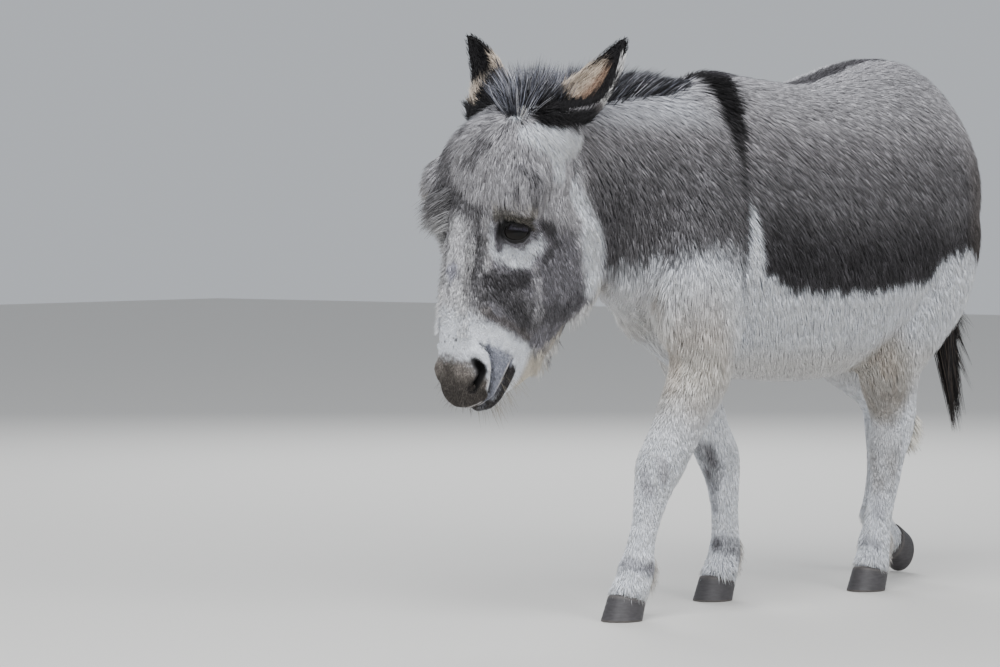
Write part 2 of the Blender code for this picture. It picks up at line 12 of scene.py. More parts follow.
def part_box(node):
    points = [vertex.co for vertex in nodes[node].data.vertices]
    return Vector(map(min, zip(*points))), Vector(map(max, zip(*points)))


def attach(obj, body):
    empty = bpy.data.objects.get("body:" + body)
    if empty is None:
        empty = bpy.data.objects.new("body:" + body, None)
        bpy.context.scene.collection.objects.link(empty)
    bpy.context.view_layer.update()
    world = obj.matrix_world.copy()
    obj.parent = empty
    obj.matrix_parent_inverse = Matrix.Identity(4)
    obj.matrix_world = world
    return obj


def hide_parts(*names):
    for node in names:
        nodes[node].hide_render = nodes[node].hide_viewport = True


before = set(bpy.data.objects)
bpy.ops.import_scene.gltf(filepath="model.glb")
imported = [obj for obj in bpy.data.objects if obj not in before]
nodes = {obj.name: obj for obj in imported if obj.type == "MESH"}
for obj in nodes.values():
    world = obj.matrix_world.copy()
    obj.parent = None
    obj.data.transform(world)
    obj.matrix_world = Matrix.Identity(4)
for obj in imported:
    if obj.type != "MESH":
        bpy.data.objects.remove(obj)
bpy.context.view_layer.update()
print("frame loaded")


# Colours of the whole model, as they look on a screen, from 0 to 255
# the white's cool tint is painted light: the cool cast of the soft light over a neutral white
shades = {
    "silver": (196, 194, 198), "mouse": (152, 149, 152), "slate": (110, 108, 111), "charcoal": (64, 62, 65),
    "black": (22, 20, 22), "white": (240, 243, 250), "cream": (220, 212, 198), "brown": (92, 84, 78),
    "tan": (176, 146, 120), "nose": (98, 92, 87), "noseLight": (142, 135, 129), "lip": (158, 161, 174),
    "lipDark": (54, 51, 52), "rim": (226, 222, 222), "eyeSkin": (15, 13, 14), "lidHair": (102, 98, 92),
    "lilac": (150, 150, 164),
}


# A shade by its name or its three numbers, as light
def tone(shade):
    screen = np.array(shades.get(shade, shade)) / 255.0
    return np.where(screen <= 0.04045, screen / 12.92, ((screen + 0.055) / 1.055) ** 2.4)


def paintOver(colours, shade, share):
    colours += (tone(shade) - colours) * np.clip(share, 0, 1)[:, None]


# One shade all over, and the brush that paints on it
def ground(count, shade):
    colours = np.tile(tone(shade), (count, 1))
    return colours, partial(paintOver, colours)


def columns(*parts):
    return np.stack(parts, axis=1)


def mm(numbers):
    return np.array(numbers) / 1000


def ramp(low, high, values):
    share = np.clip((values - low) / (high - low), 0, 1)
    return share * share * (3 - 2 * share)


# Bump of height 1 at the middle, gone at the spread
def near(values, middle, spread):
    return np.clip(1 - np.abs(values - middle) / spread, 0, 1)


noiseTable = np.random.default_rng(5).random((32, 32, 32))


# Soft random cloud from 0 to 1, with lumps of the given size
def cloud(points, size, shift=0.0):
    grid = np.asarray(points) / size + shift
    base = np.floor(grid).astype(int)
    part = grid - base
    part = part * part * (3 - 2 * part)
    total = np.zeros(len(grid))
    for corner in np.ndindex(2, 2, 2):
        weight = np.prod(np.where(np.array(corner) == 1, part, 1 - part), axis=1)
        spot = (base + corner) % 32
        total += weight * noiseTable[spot[:, 0], spot[:, 1], spot[:, 2]]
    return total


# Distance from each point to a line of straight pieces
def lineDistance(points, spots):
    spots = np.asarray(spots, float)
    best = np.full(len(points), 1e9)
    for start, end in zip(spots[:-1], spots[1:]):
        way = end - start
        share = np.clip((points - start) @ way / max(way @ way, 1e-12), 0, 1)
        best = np.minimum(best, np.linalg.norm(points - start - share[:, None] * way, axis=1))
    return best


# Share of a brush stroke at a distance from its line
def strokeShare(reach, radius):
    return ramp(radius * 1.35, radius * 0.60, reach)


# Each colour a little lighter or darker
def varied(colours, spread, rng):
    return colours * np.exp(spread * rng.normal(size=len(colours)))[:, None]


def unit(vectors):
    return vectors / np.maximum(np.linalg.norm(vectors, axis=1), 1e-9)[:, None]


# Ways turned to another one by a share, and ways laid flat on the surface
def turnedTo(ways, other, share):
    share = share[:, None]
    return ways * (1 - share) + np.array(other) * share


def flattened(ways, normals):
    return unit(ways - normals * np.sum(ways * normals, axis=1)[:, None])


# Points and normals of a mesh
def meshArrays(mesh):
    arrays = np.empty((2, len(mesh.vertices) * 3))
    for field, values in zip(("co", "normal"), arrays):
        mesh.vertices.foreach_get(field, values)
    return arrays.reshape(2, -1, 3)


def setPoints(mesh, points):
    mesh.vertices.foreach_set("co", points.ravel())
    mesh.update()


def trianglesOf(mesh):
    mesh.calc_loop_triangles()
    flat = np.empty(len(mesh.loop_triangles) * 3, int)
    mesh.loop_triangles.foreach_get("vertices", flat)
    return flat.reshape(-1, 3)


def newObject(name, data):
    made = bpy.data.objects.new(name, data)
    bpy.context.scene.collection.objects.link(made)
    return made


def bakedMesh(source, name):
    graph = bpy.context.evaluated_depsgraph_get()
    mesh = bpy.data.meshes.new_from_object(source.evaluated_get(graph))
    mesh.name = name
    return mesh


# A closed loop of edges through the spots
def ringOf(bm, spots):
    ring = [bm.verts.new(spot) for spot in spots]
    return [bm.edges.new((ring[k - 1], ring[k])) for k in range(len(ring))]


# Walls between the rings; the ends are capped unless the last ring meets the first
def wallOver(bm, rings, closed=False):
    for one, two in zip(rings, rings[1:] + rings[:closed]):
        bmesh.ops.bridge_loops(bm, edges=one + two)
    for loop in () if closed else (rings[0], rings[-1]):
        bmesh.ops.contextual_create(bm, geom=loop)


def meshFrom(bm, name):
    mesh = bpy.data.meshes.new(name)
    bmesh.ops.recalc_face_normals(bm, faces=bm.faces[:])
    bm.to_mesh(mesh)
    bm.free()
    mesh.shade_smooth()
    return mesh


def paintMesh(mesh, colours):
    layer = mesh.attributes.new("coatColour", "FLOAT_COLOR", "POINT")
    full = np.ones((len(mesh.vertices), 4), np.float32)
    full[:, :3] = colours
    layer.data.foreach_set("color", full.ravel())


# The head's own frame: x to its left, y to its back, z up, from the poll
headTurn = {"yaw": -7.5, "pitch": -6.5, "roll": 4.5, "eyeBack": -0.045, "eyeDown": -0.182}
turned = (
    Matrix.Rotation(math.radians(headTurn["yaw"]), 4, "Z")
    @ Matrix.Rotation(math.radians(headTurn["pitch"]), 4, "X")
    @ Matrix.Rotation(math.radians(headTurn["roll"]), 4, "Y")
)


def middleOf(node):
    low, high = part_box(node)
    return (low + high) / 2


eyeMiddles = {side: middleOf("eye_" + side) for side in ("left", "right")}
betweenEyes = (eyeMiddles["left"] + eyeMiddles["right"]) / 2
pollSpot = betweenEyes - turned @ Vector((0, headTurn["eyeBack"], headTurn["eyeDown"]))
headFrame = Matrix.Translation(pollSpot) @ turned
headArray = np.array(headFrame)
headInverse = np.array(headFrame.inverted())


def toHead(points):
    return points @ headInverse[:3, :3].T + headInverse[:3, 3]


def fromHead(points):
    return points @ headArray[:3, :3].T + headArray[:3, 3]


def turnFromHead(vectors):
    return vectors @ headArray[:3, :3].T


# Opening of the left eye in the head's frame. Its edge is seen along its look, and its edge and corners
# are in millimetres
eyeOpening = {
    "middle": (0.081, -0.045, -0.187), "radius": 0.0200,
    "look": (0.766, -0.643, 0.0), "along": (0.643, 0.766, 0.0),
    "edge": [(18.8, 5.2), (15.0, 7.6), (8.0, 8.8), (0.0, 9.6), (-8.0, 10.4), (-14.0, 9.2), (-18.0, 3.6),
             (-18.6, -4.5), (-15.4, -9.8), (-9.0, -12.8), (-2.0, -13.4), (5.0, -11.8), (12.0, -7.4),
             (16.8, -0.6)],
    "lidRise": 0.0022, "floor": 0.0165, "zone": 0.034,
    "corners": [([(67, -67, -182), (62, -66, -196), (61, -61, -212)], 7.2),
                ([(70, -62, -196), (67, -60, -209), (76, -52, -209)], 8),
                ([(97, -36, -184), (103, -17, -180)], 4.6)],
}
eyeSpots = {side: fromHead(np.array(eyeOpening["middle"]) * (mirror, 1, 1))
            for side, mirror in (("left", 1), ("right", -1))}
openMiddle, openLook, openAlong = (np.array(eyeOpening[name]) for name in ("middle", "look", "along"))
eyeCorners = [(mm(spots), radius / 1000) for spots, radius in eyeOpening["corners"]]
edgeSpots = mm(eyeOpening["edge"])
edgeAngles = np.arctan2(edgeSpots[:, 1], edgeSpots[:, 0])
edgeArcs = eyeOpening["radius"] * np.arcsin(np.hypot(*edgeSpots.T) / eyeOpening["radius"])
edgeOrder = np.argsort(edgeAngles)


def edgeArc(angles):
    return np.interp(angles, edgeAngles[edgeOrder], edgeArcs[edgeOrder], period=2 * math.pi)


# Distance along the ball outside the opening, distance from the ball's middle, angle round the opening
def lidGap(folded):
    away = folded - openMiddle
    reach = np.linalg.norm(away, axis=1)
    way = away / np.maximum(reach, 1e-9)[:, None]
    angle = np.arctan2(way[:, 2], way @ openAlong)
    arc = eyeOpening["radius"] * np.arccos(np.clip(way @ openLook, -1, 1))
    return arc - edgeArc(angle), reach, angle


# How far back the head reaches at each level of its own frame: a row of levels and a row of places
headBack = mm([(-520, -440, -360, -300, -260, -226, -190, -160, -130, -90, -50, 20, 100),
               (50, 110, 155, 186, 188, 172, 158, 138, 112, 87, 72, 74, 75)])


def headShare(local):
    back = np.interp(local[:, 2], *headBack)
    inside = (local[:, 2] > -0.54) & (local[:, 2] < 0.12) & (np.abs(local[:, 0]) < 0.17)
    return ramp(0.015, -0.010, local[:, 1] - back) * inside


# Coat: how deep it is, its length, width and spacing, by the part of the body
coat = {
    "depth": {"trunk": 0.011, "leg": 0.0040, "brow": 0.010, "face": 0.0040,
              "cheek": 0.0062, "beard": 0.010, "muzzle": 0.0012},
    "length": {"trunk": 0.030, "leg": 0.019, "brow": 0.028, "face": 0.014,
               "cheek": 0.019, "beard": 0.034, "muzzle": 0.0048},
    "width": {"trunk": 0.00175, "leg": 0.0018, "brow": 0.0015, "face": 0.0014,
              "cheek": 0.0016, "beard": 0.0017, "muzzle": 0.0011},
    "spacing": {"trunk": 0.00328, "leg": 0.00288, "brow": 0.00238, "face": 0.00212,
                "cheek": 0.00228, "beard": 0.0026, "muzzle": 0.0018},
    "midline": 0.012, "legTop": 0.42, "legFull": 0.30,
    # factors for fewer and wider tufts, which nothing here reads
    "quickSpacing": 1.6, "quickWidth": 1.5,
}


# Overhang of the brow above the eye
browLine = mm([(60, -80, -150), (86, -82, -150), (106, -75, -146), (114, -55, -148), (108, -25, -156)])


# Both sides of the head laid over its left side
def foldOver(local):
    folded = local.copy()
    folded[:, 0] = np.abs(folded[:, 0])
    return folded


# Share of each kind of coat at each place; the shares add up to 1
def coatShares(points, local, head):
    x, y, z = np.abs(local[:, 0]), local[:, 1], local[:, 2]
    muzzle = head * ramp(-0.305, -0.350, z + 0.55 * np.clip(y, 0, 1))
    rest = head - muzzle
    back = np.interp(z, *headBack)
    beard = rest * ramp(-0.055, -0.025, y - back)
    beard = np.maximum(beard, rest * ramp(0.035, 0.075, y) * ramp(-0.30, -0.36, z))
    rest = rest - beard
    middle = ramp(0.075, 0.045, x)
    brow = rest * ramp(-0.205 - 0.035 * middle, -0.125, z + 0.25 * y)
    brow = np.maximum(brow, rest * ramp(0.016, 0.006, lineDistance(foldOver(local), browLine)))
    rest = rest - brow
    cheek = rest * ramp(-0.035, 0.015, y)
    face = rest - cheek
    leg = (1 - head) * ramp(coat["legTop"], coat["legFull"], points[:, 2])
    leg *= 1 - near(points[:, 0], 0.02, 0.03) * (points[:, 1] > 0.5)
    return {"muzzle": muzzle, "beard": beard, "brow": brow, "cheek": cheek, "face": face,
            "leg": leg, "trunk": 1 - head - leg}


def mixed(table, shares):
    return sum(table[name] * share for name, share in shares.items())


# Way the coat lies, before it is laid along the skin
def coatFlow(points, normals, local, head):
    x, y, z = points.T
    side = np.sign(x - coat["midline"])
    flow = columns(np.zeros_like(x), np.full_like(x, 0.50), np.full_like(x, -1.0))
    high = ramp(0.78, 0.88, z)
    flow[:, 1] += 0.7 * high
    flow[:, 0] += 0.10 * side * high
    low = ramp(0.64, 0.52, z)
    flow[:, 1] -= 0.10 * low
    chest = ramp(-0.12, -0.26, y)
    flow[:, 1] -= 0.22 * chest * (1 - high)
    flow[:, 0] -= 0.35 * side * chest * low
    fan = chest * ramp(0.60, 0.50, z) * ramp(0.32, 0.44, z)
    flow[:, 0] += 1.2 * fan * (cloud(points * (1, 1, 0.5), 0.060, 15.0) - 0.5)
    rump = ramp(0.36, 0.50, y)
    flow[:, 1] -= 0.30 * rump
    flow = turnedTo(flow, (0, 0.18, -1.0), ramp(0.40, 0.30, z))

    across, back, level = local.T
    mirror = np.sign(across)
    onHead = columns(0.25 * mirror, np.full_like(x, 0.55), np.full_like(x, -0.85))
    away = unit(local - (0.022, -0.030, 0.000))
    onHead = turnedTo(onHead, 0.9 * away + (0, -0.05, -0.30), ramp(-0.17, -0.10, level))
    front = ramp(0.055, 0.030, np.abs(across)) * ramp(-0.14, -0.20, level)
    onHead = turnedTo(onHead, (0, -0.10, -1.0), front)
    onHead = turnedTo(onHead, (0, 0.50, -1.0), ramp(0.05, 0.10, back) * ramp(-0.24, -0.31, level))
    onHead = turnedTo(onHead, (0, 0.25, -1.0), ramp(-0.02, 0.02, back) * ramp(-0.37, -0.41, level))
    # Round the eye the hair runs away from it
    eye = columns(across - mirror * 0.088, back + 0.045, level + 0.190)
    ringed = np.exp(-((np.linalg.norm(eye, axis=1) / 0.032) ** 2))
    onHead = turnedTo(onHead, unit(eye) + (0, 0.2, -0.3), ringed)
    flow = turnedTo(flow, turnFromHead(unit(onHead)), head)
    flow += 0.22 * (columns(*(cloud(points, 0.05, shift) for shift in (3.1, 7.7, 12.3))) - 0.5)
    return flattened(flow, normals)


# Markings of the body, the same for the skin and the tufts on it: the dark cross over the shoulders and the
# edge of the white below
crossLine = {
    "z": mm([500, 538, 598, 645, 705, 749, 799, 838, 880]),
    "y": mm([-178, -179, -178, -171, -150, -136, -119, -104, -98]),
    "half": mm([4, 6, 7, 7, 8, 12, 19, 29, 40]),
    "strength": [0.0, 0.35, 0.40, 0.42, 0.60, 0.9, 1.0, 1.0, 1.0],
}
bellyLine = mm([(-190, -150, -115, -62, 45, 142, 228, 300, 316, 332, 420, 500, 600),
                (560, 555, 545, 522, 518, 520, 524, 530, 545, 566, 584, 560, 550)])


# Soft grey on the legs: line and radius in millimetres, shade and share
legSmudges = [
    ([(76, -332, 236), (78, -330, 206)], 12, (158, 154, 160), 0.55),
    ([(98, -318, 252), (102, -318, 222)], 8, (150, 144, 146), 0.60),
    ([(54, -355, 92), (80, -345, 86), (86, -314, 82)], 10, (138, 136, 144), 0.85),
    ([(-38, -20, 250), (-34, -2, 225), (-38, 4, 205)], 20, (118, 116, 120), 0.90),
    ([(-36, 6, 185), (-36, 6, 150)], 9, (140, 140, 148), 0.7),
    ([(-40, 0, 96), (-18, 4, 92), (-2, 30, 88), (-8, 50, 80)], 15, (112, 110, 115), 0.90),
    ([(86, 316, 165), (88, 322, 135)], 10, (160, 160, 168), 0.7),
    ([(73, 300, 85), (90, 305, 80)], 10, (140, 140, 148), 0.7),
    ([(-70, 560, 200), (-60, 580, 160)], 14, (150, 148, 150), 0.6),
]


def bodyColours(points):
    x, y, z = points.T
    narrowed = points * (0.6, 1, 1)  # strokes reach further across the body
    rough = 0.020 * (cloud(points * (1, 1, 0.35), 0.010, 2.0) - 0.5)
    broad = cloud(points, 0.09, 9.0) - 0.5
    colours, paint = ground(len(points), "mouse")
    paint("silver", ramp(0.72, 0.87, z + 0.06 * broad))
    paint("slate", ramp(0.78, 0.67, z + 0.05 * broad) * 0.9)
    crossY = np.interp(z, crossLine["z"], crossLine["y"])
    behind = ramp(-0.005, 0.030, y - crossY)
    paint("charcoal", ramp(0.675, 0.575, z + 0.04 * broad) * behind)
    buttock = ramp(0.40, 0.47, y) * ramp(0.80, 0.68, z)
    paint("brown", buttock * 0.45)
    neckDark = ramp(-0.24, -0.34, y) * ramp(0.76, 0.66, z)
    paint("slate", neckDark * 0.6)
    throat = ramp(-0.33, -0.40, y) * ramp(0.72, 0.64, z)
    paint("charcoal", throat * 0.50)
    crest = ramp(-0.12, -0.20, y) * ramp(0.76, 0.81, z)
    paint((214, 215, 222), crest * 0.8)
    crestLine = lineDistance(narrowed, [(0.05, -0.36, 0.80), (0.05, -0.20, 0.83)])
    paint("white", strokeShare(crestLine, 0.030) * 0.45)
    # White below: the belly behind the cross, the chest and shoulder in front of it
    line = np.interp(y, *bellyLine)
    under = ramp(0.007, -0.007, z + rough - line) * behind
    paint("white", under)
    frontLine = np.interp(y, [-0.45, -0.33, -0.25, -0.18], [0.540, 0.568, 0.588, 0.575])
    bib = ramp(0.026, -0.034, z + 1.6 * rough - frontLine) * (1 - behind)
    paint("white", bib)
    creamy = ramp(0.58, 0.42, z) * ramp(-0.16, -0.26, y) * ramp(0.24, 0.42, z)
    paint((226, 219, 208), creamy * 0.7)
    paint((226, 219, 208), 0.5 * ramp(0.45, 0.40, z) * ramp(0.30, 0.39, z))
    # Near hind thigh and gaskin: painted shade, a darker cream where the leg lies in shade, with tan streaks
    # of the coat's own
    thigh = lineDistance(narrowed, [(0.05, 0.262, 0.43), (0.062, 0.300, 0.33)])
    streaks = ramp(0.35, 0.65, cloud(points * (1, 1, 0.25), 0.010, 5.5))
    thighShadeShare = ramp(0.070, 0.028, thigh) * (x > 0)
    paint((190, 183, 173), thighShadeShare * 0.70)
    paint((158, 138, 118), ramp(0.044, 0.020, thigh) * (0.05 + 0.30 * streaks) * (x > 0))
    gaskin = lineDistance(narrowed, [(0.062, 0.300, 0.33), (0.055, 0.330, 0.25), (0.06, 0.325, 0.19)])
    paint((168, 163, 158), ramp(0.050, 0.010, gaskin) * (0.40 + 0.20 * streaks) * (x > 0))
    stain = ramp(0.60, 0.80, cloud(points * (1, 1, 0.5), 0.035, 4.4))
    paint("tan", stain * creamy * 0.20)
    stain = lineDistance(points * (0.5, 1, 1), [(0.02, -0.370, 0.520), (0.035, -0.335, 0.500)])
    paint((142, 128, 112), strokeShare(stain + 0.5 * rough, 0.026) * 0.75)
    # White wedge behind the shoulder, black cross, dark line down the back
    wedge = 1 - ramp(0.5, 1.0, np.abs(y + 0.153) / np.interp(z, [0.53, 0.60, 0.66], [0.026, 0.016, 0.006]))
    paint("white", wedge * ramp(0.67, 0.63, z))
    half = np.interp(z, crossLine["z"], crossLine["half"])
    offset = np.abs(y - crossY + 0.6 * rough) / half
    strength = np.interp(z, crossLine["z"], crossLine["strength"])
    paint("black", ramp(1.25, 0.75, offset) * strength)
    spine = ramp(0.030, 0.018, np.abs(x - coat["midline"]) + 0.5 * rough) * ramp(0.80, 0.84, z)
    paint((62, 59, 64), spine * ramp(-0.12, -0.08, y) * 0.92)
    dock = ramp(0.525, 0.545, y) * ramp(0.035, 0.025, np.abs(x - coat["midline"]))
    paint((78, 74, 76), dock * (z > 0.45))
    # Legs: white, with soft grey on the knees and fetlocks and inside the far knee
    smudge = ramp(0.40, 0.62, cloud(points * (1, 1, 0.6), 0.014, 6.0))
    for spots, radius, shade, share in legSmudges:
        reach = lineDistance(points, mm(spots)) + 0.5 * rough
        paint(shade, ramp(radius / 1000 * 1.5, radius / 1000 * 0.4, reach) * share * (0.66 + 0.34 * smudge))
    return colours


# Markings of the face: shade, share, radius and line in millimetres, on both sides unless kept to one
faceStrokes = [
    # forehead
    ("slate", 0.7, 24, "one", [(-58, -80, -75), (-50, -90, -110), (-20, -97, -135)]),
    ("charcoal", 0.62, 16, "one", [(-40, -92, -130), (-6, -97, -148), (24, -93, -165)]),
    ("charcoal", 0.5, 12, "both", [(20, -93, -160), (40, -89, -160)]),
    ("cream", 0.7, 22, "one", [(-105, -40, -90), (-110, -50, -130)]),
    ("slate", 0.55, 26, "both", [(108, -50, -90), (112, -30, -125)]),
    ("white", 1.0, 20, "both", [(66, -30, -36), (98, 12, -40), (86, 56, -38)]),
    ("white", 0.9, 16, "both", [(90, 0, -50), (94, 20, -85)]),
    # front of the face and the dark band beside it
    ("lilac", 0.8, 13, "both", [(0, -94, -258), (-12, -93, -275)]),
    ("slate", 0.7, 15, "both", [(30, -90, -176), (32, -85, -215), (30, -84, -245), (34, -80, -280),
                                (44, -66, -300)]),
    ("charcoal", 0.66, 9.5, "both", [(36, -87, -180), (40, -78, -210), (38, -77, -241), (38, -76, -270),
                                     (46, -64, -290)]),
    # cheek
    ("slate", 0.9, 26, "both", [(50, -55, -275), (66, -20, -292), (66, 30, -315)]),
    ("charcoal", 0.9, 15, "both", [(54, -52, -266), (64, -32, -266), (74, -10, -256)]),
    ("charcoal", 0.7, 14, "both", [(55, -46, -285), (66, -16, -302), (67, 10, -320)]),
    ("charcoal", 0.6, 17, "both", [(66, 50, -300), (55, 90, -300), (60, 110, -268)]),
    ("silver", 0.42, 11, "both", [(85, 8, -240), (78, 20, -275), (66, 36, -312)]),
    ("brown", 0.5, 7, "both", [(48, -60, -312), (60, -20, -330), (58, 30, -343)]),
    # round the eye
    ("lidHair", 0.85, 12, "both", [(66, -70, -164), (88, -70, -162), (104, -48, -162)]),
    ("white", 0.85, 5.8, "both", [(52, -74, -180), (52.5, -66, -212), (57, -52, -238)]),
    ("white", 1.0, 13, "both", [(66, -40, -224), (78, -16, -222), (91, -2, -203)]),
    # painted shade and dark hair: the fold behind the eye's outer corner, and down behind it
    ("charcoal", 0.92, 11, "both", [(98, -12, -164), (96, 12, -172), (93, 30, -190)]),
    ("charcoal", 0.65, 7.5, "both", [(93, 26, -186), (90, 24, -204), (86, 18, -222)]),
    # jaw and throat
    ("silver", 0.75, 34, "both", [(83, 94, -135), (80, 124, -200), (70, 146, -236)]),
    ("white", 1.0, 20, "both", [(83, 70, -108), (83, 94, -135), (83, 112, -160)]),
    ("white", 1.0, 31, "both", [(83, 120, -172), (80, 130, -205), (70, 148, -236)]),
    ("white", 1.0, 17, "both", [(66, 158, -240), (50, 164, -278), (40, 156, -300)]),
    ("cream", 0.85, 24, "both", [(50, 174, -262), (32, 164, -310), (28, 140, -350), (32, 95, -385)]),
    ("silver", 0.8, 8.5, "both", [(72, 136, -284), (60, 124, -306), (48, 120, -322), (43, 110, -340),
                                  (38, 98, -358)]),
]
# Lines of the muzzle on both sides; the white's edge is a row of places back and a row of levels
noseLines = {
    "whiteEdge": [(-95, -60, -20, 20, 60, 100), (-314, -324, -338, -352, -362, -372)],
    "nostril": [(36, -54, -394), (46, -50, -402), (50.5, -48, -413), (46, -50, -427), (37, -52, -437)],
    "wing": [(40, -58, -378), (50, -48, -384), (55, -40, -396), (52, -32, -413), (44, -29, -431)],
    "groove": [(43, -52, -366), (52, -38, -378), (53, -32, -392), (46, -21, -416), (34, -14, -438)],
    "lip": [(54, -14, -374), (52, -6, -394), (44, -6, -420), (32, -6, -443)],
    "mouth": [(49, 15, -381), (46, 11, -401), (42, 6, -420), (35, 0, -440), (22, -6, -457),
              (0, -14, -466)],
    "lower": [(43, 19, -402), (40, 18, -418), (32, 13, -438), (20, 6, -455), (0, 0, -462)],
    "chin": [(42, 36, -396), (34, 34, -424), (22, 28, -445), (0, 24, -452)],
    "lobe": [(22, -68, -412), (30, -62, -412)],
}
noseLines = {name: mm(spots) for name, spots in noseLines.items()}
# Edges of the upper lip and of the nose's wing: their levels, and how far back they are
lipEdges = {
    "front": mm([(-438, -416, -392, -378, -366), (-14, -21, -32, -38, -46)]),
    "back": mm([(-457, -440, -420, -401, -381), (-6, 0, 6, 11, 15)]),
    "wing": mm([(-462, -450, -441, -431, -413, -396), (-6, -6, -14, -27, -30, -36)]),
}


def headColours(points, local):
    _, back, level = local.T
    folded = foldOver(local)
    side = folded[:, 0]

    def onLine(name, radius, rough=0.0, cut=slice(None), shift=(0, 0, 0)):
        return strokeShare(lineDistance(folded + shift, noseLines[name][cut]) + rough, radius)

    rough = 0.010 * (cloud(points, 0.006, 1.0) - 0.5) + 0.010 * (cloud(points, 0.015, 2.2) - 0.5)
    streak = cloud(points * (1, 1, 0.4), 0.010, 8.0)
    colours, paint = ground(len(points), "mouse")
    brow = ramp(-0.19, -0.14, level + rough)
    paint((190, 188, 192), brow * 0.9)
    paint("charcoal", brow * ramp(0.60, 0.76, streak) * 0.65)
    front = ramp(0.050, 0.034, side + rough) * ramp(-0.150, -0.190, level + rough) * (back < 0)
    paint((222, 221, 224), front)
    paint("slate", front * near(level, -0.275, 0.055) * ramp(0.55, 0.72, streak) * 0.7)
    cheek = ramp(0.042, 0.054, side + 0.3 * np.clip(back, 0, 1) + rough) * ramp(-0.150, -0.190, level)
    cheek = np.maximum(cheek, ramp(0.03, 0.06, back) * ramp(-0.150, -0.190, level))
    paint((128, 126, 132), cheek)
    edge = np.interp(back, *noseLines["whiteEdge"])
    white = ramp(0.008, -0.010, level - edge + 0.8 * rough)
    paint("white", white * ramp(0.075, 0.045, back))
    beard = ramp(0.010, -0.012, level - edge + rough) * ramp(0.040, 0.070, back)
    paint("cream", beard)
    for shade, share, wide, where, spots in faceStrokes:
        radius = wide / 1000
        reach = lineDistance(folded if where == "both" else local, mm(spots))
        paint(shade, strokeShare(reach + rough * min(radius / 0.012, 1.0), radius) * share)
    fringe = lineDistance(folded, browLine)
    paint("cream", strokeShare(fringe, 0.007) * 0.85)
    # Muzzle: grey nose between pale rims, nostrils, lips and dark lower lip
    fine = 0.004 * (cloud(points, 0.004, 3.0) - 0.5)
    flecks = ramp(0.74, 0.80, cloud(points, 0.0034, 13.0)) * near(level, -0.368, 0.020) * (side < 0.030)
    paint("lipDark", flecks * (back < -0.03) * 0.9)
    noseTop = np.interp(side, [0.0, 0.026, 0.036, 0.046], [-0.394, -0.396, -0.400, -0.412])
    wingBack = np.interp(level, *lipEdges["wing"])
    nose = ramp(0.013, -0.008, level - noseTop + 4 * fine) * ramp(0.0015, -0.0015, back - wingBack)
    paint("nose", nose)
    paint((66, 61, 58), nose * ramp(-0.418, -0.446, level + 2 * fine) * 0.8)
    paint((168, 165, 164), nose * ramp(0.012, 0.0, noseTop - level + 2 * fine) * 0.5)
    lobe = lineDistance(folded, noseLines["lobe"])
    paint("noseLight", ramp(0.020, 0.004, lobe) * 0.8)
    lipFront = np.interp(level, *lipEdges["front"])
    lipBack = np.interp(level, *lipEdges["back"])
    lip = ramp(-0.001, 0.003, back - lipFront) * ramp(0.006, 0.002, back - lipBack)
    lip *= ramp(-0.368, -0.382, level + 0.3 * back + 3 * fine) * (side > 0.012)
    paint("lip", lip)
    paint((96, 98, 108), lip * ramp(0.012, 0.002, back - lipFront) * 0.7)
    paint("white", onLine("wing", 0.0058, cut=slice(0, 4)) * 0.95)
    paint("rim", onLine("wing", 0.0026, cut=slice(2, None)) * 0.8)
    rimLine = lineDistance(folded, [(0.026, -0.018, -0.456), (0.012, -0.032, -0.468), (0.0, -0.036, -0.470)])
    paint("rim", strokeShare(rimLine, 0.0030) * 0.8)
    # painted shade in the groove beside the nose's wing
    paint((66, 64, 68), onLine("groove", 0.0030, fine) * 0.9)
    # dark skin round the nostril, and painted shade: its hollow is painted near black
    paint("lipDark", onLine("nostril", 0.0088) * 0.8)
    paint((8, 7, 7), onLine("nostril", 0.0082, shift=(-0.001, -0.0025, 0)))
    paint("lipDark", onLine("lower", 0.0112, fine))
    paint("white", onLine("chin", 0.0080, fine) * 0.9)
    paint("rim", onLine("mouth", 0.0022, shift=(0, 0.004, -0.001)) * 0.8)
    # painted shade in the slit between the lips
    paint((14, 12, 12), onLine("mouth", 0.0020))
    # Black at the roots of the ears, a white tuft between them
    for root in ((0.074, 0.004, 0.006), (-0.088, 0.004, 0.004)):
        reach = np.linalg.norm((local - root) / (0.040, 0.050, 0.028), axis=1)
        paint("black", ramp(1.12, 0.88, reach + 6 * rough))
    tuft = np.linalg.norm((local - (0.030, -0.026, -0.002)) / (0.011, 0.022, 0.020), axis=1)
    paint("white", ramp(1.2, 0.8, tuft))
    # Lids and the corner of the eye
    gap, away, angle = lidGap(folded)
    upper = (angle > 0.2) & (angle < 2.4)
    paint("lidHair", upper * ramp(0.0125, 0.0100, gap + fine) * (away < eyeOpening["zone"]))
    wide = np.where(upper, 0.0022, 0.0050)
    paint("eyeSkin", ramp(wide * 1.3, wide * 0.8, gap + fine) * (away < eyeOpening["zone"]))
    for spots, radius in eyeCorners:
        paint("eyeSkin", strokeShare(lineDistance(folded, spots), radius))
    return colours


def coatColours(points):
    local = toHead(points)
    head = headShare(local)
    colours = bodyColours(points)
    onHead = head > 0
    colours[onHead] += (headColours(points[onHead], local[onHead]) - colours[onHead]) * head[onHead, None]
    return colours


# Skin: one closed body over all the flesh, inside the solids by the coat's depth
skin = {
    "flesh": ["head", "neck", "trunk", "leg_fore_left", "leg_fore_right", "leg_hind_left",
              "leg_hind_right", "tail"],
    "overlap": 0.0009, "voxel": 0.0084, "rounds": 6, "fineRounds": 5,
}


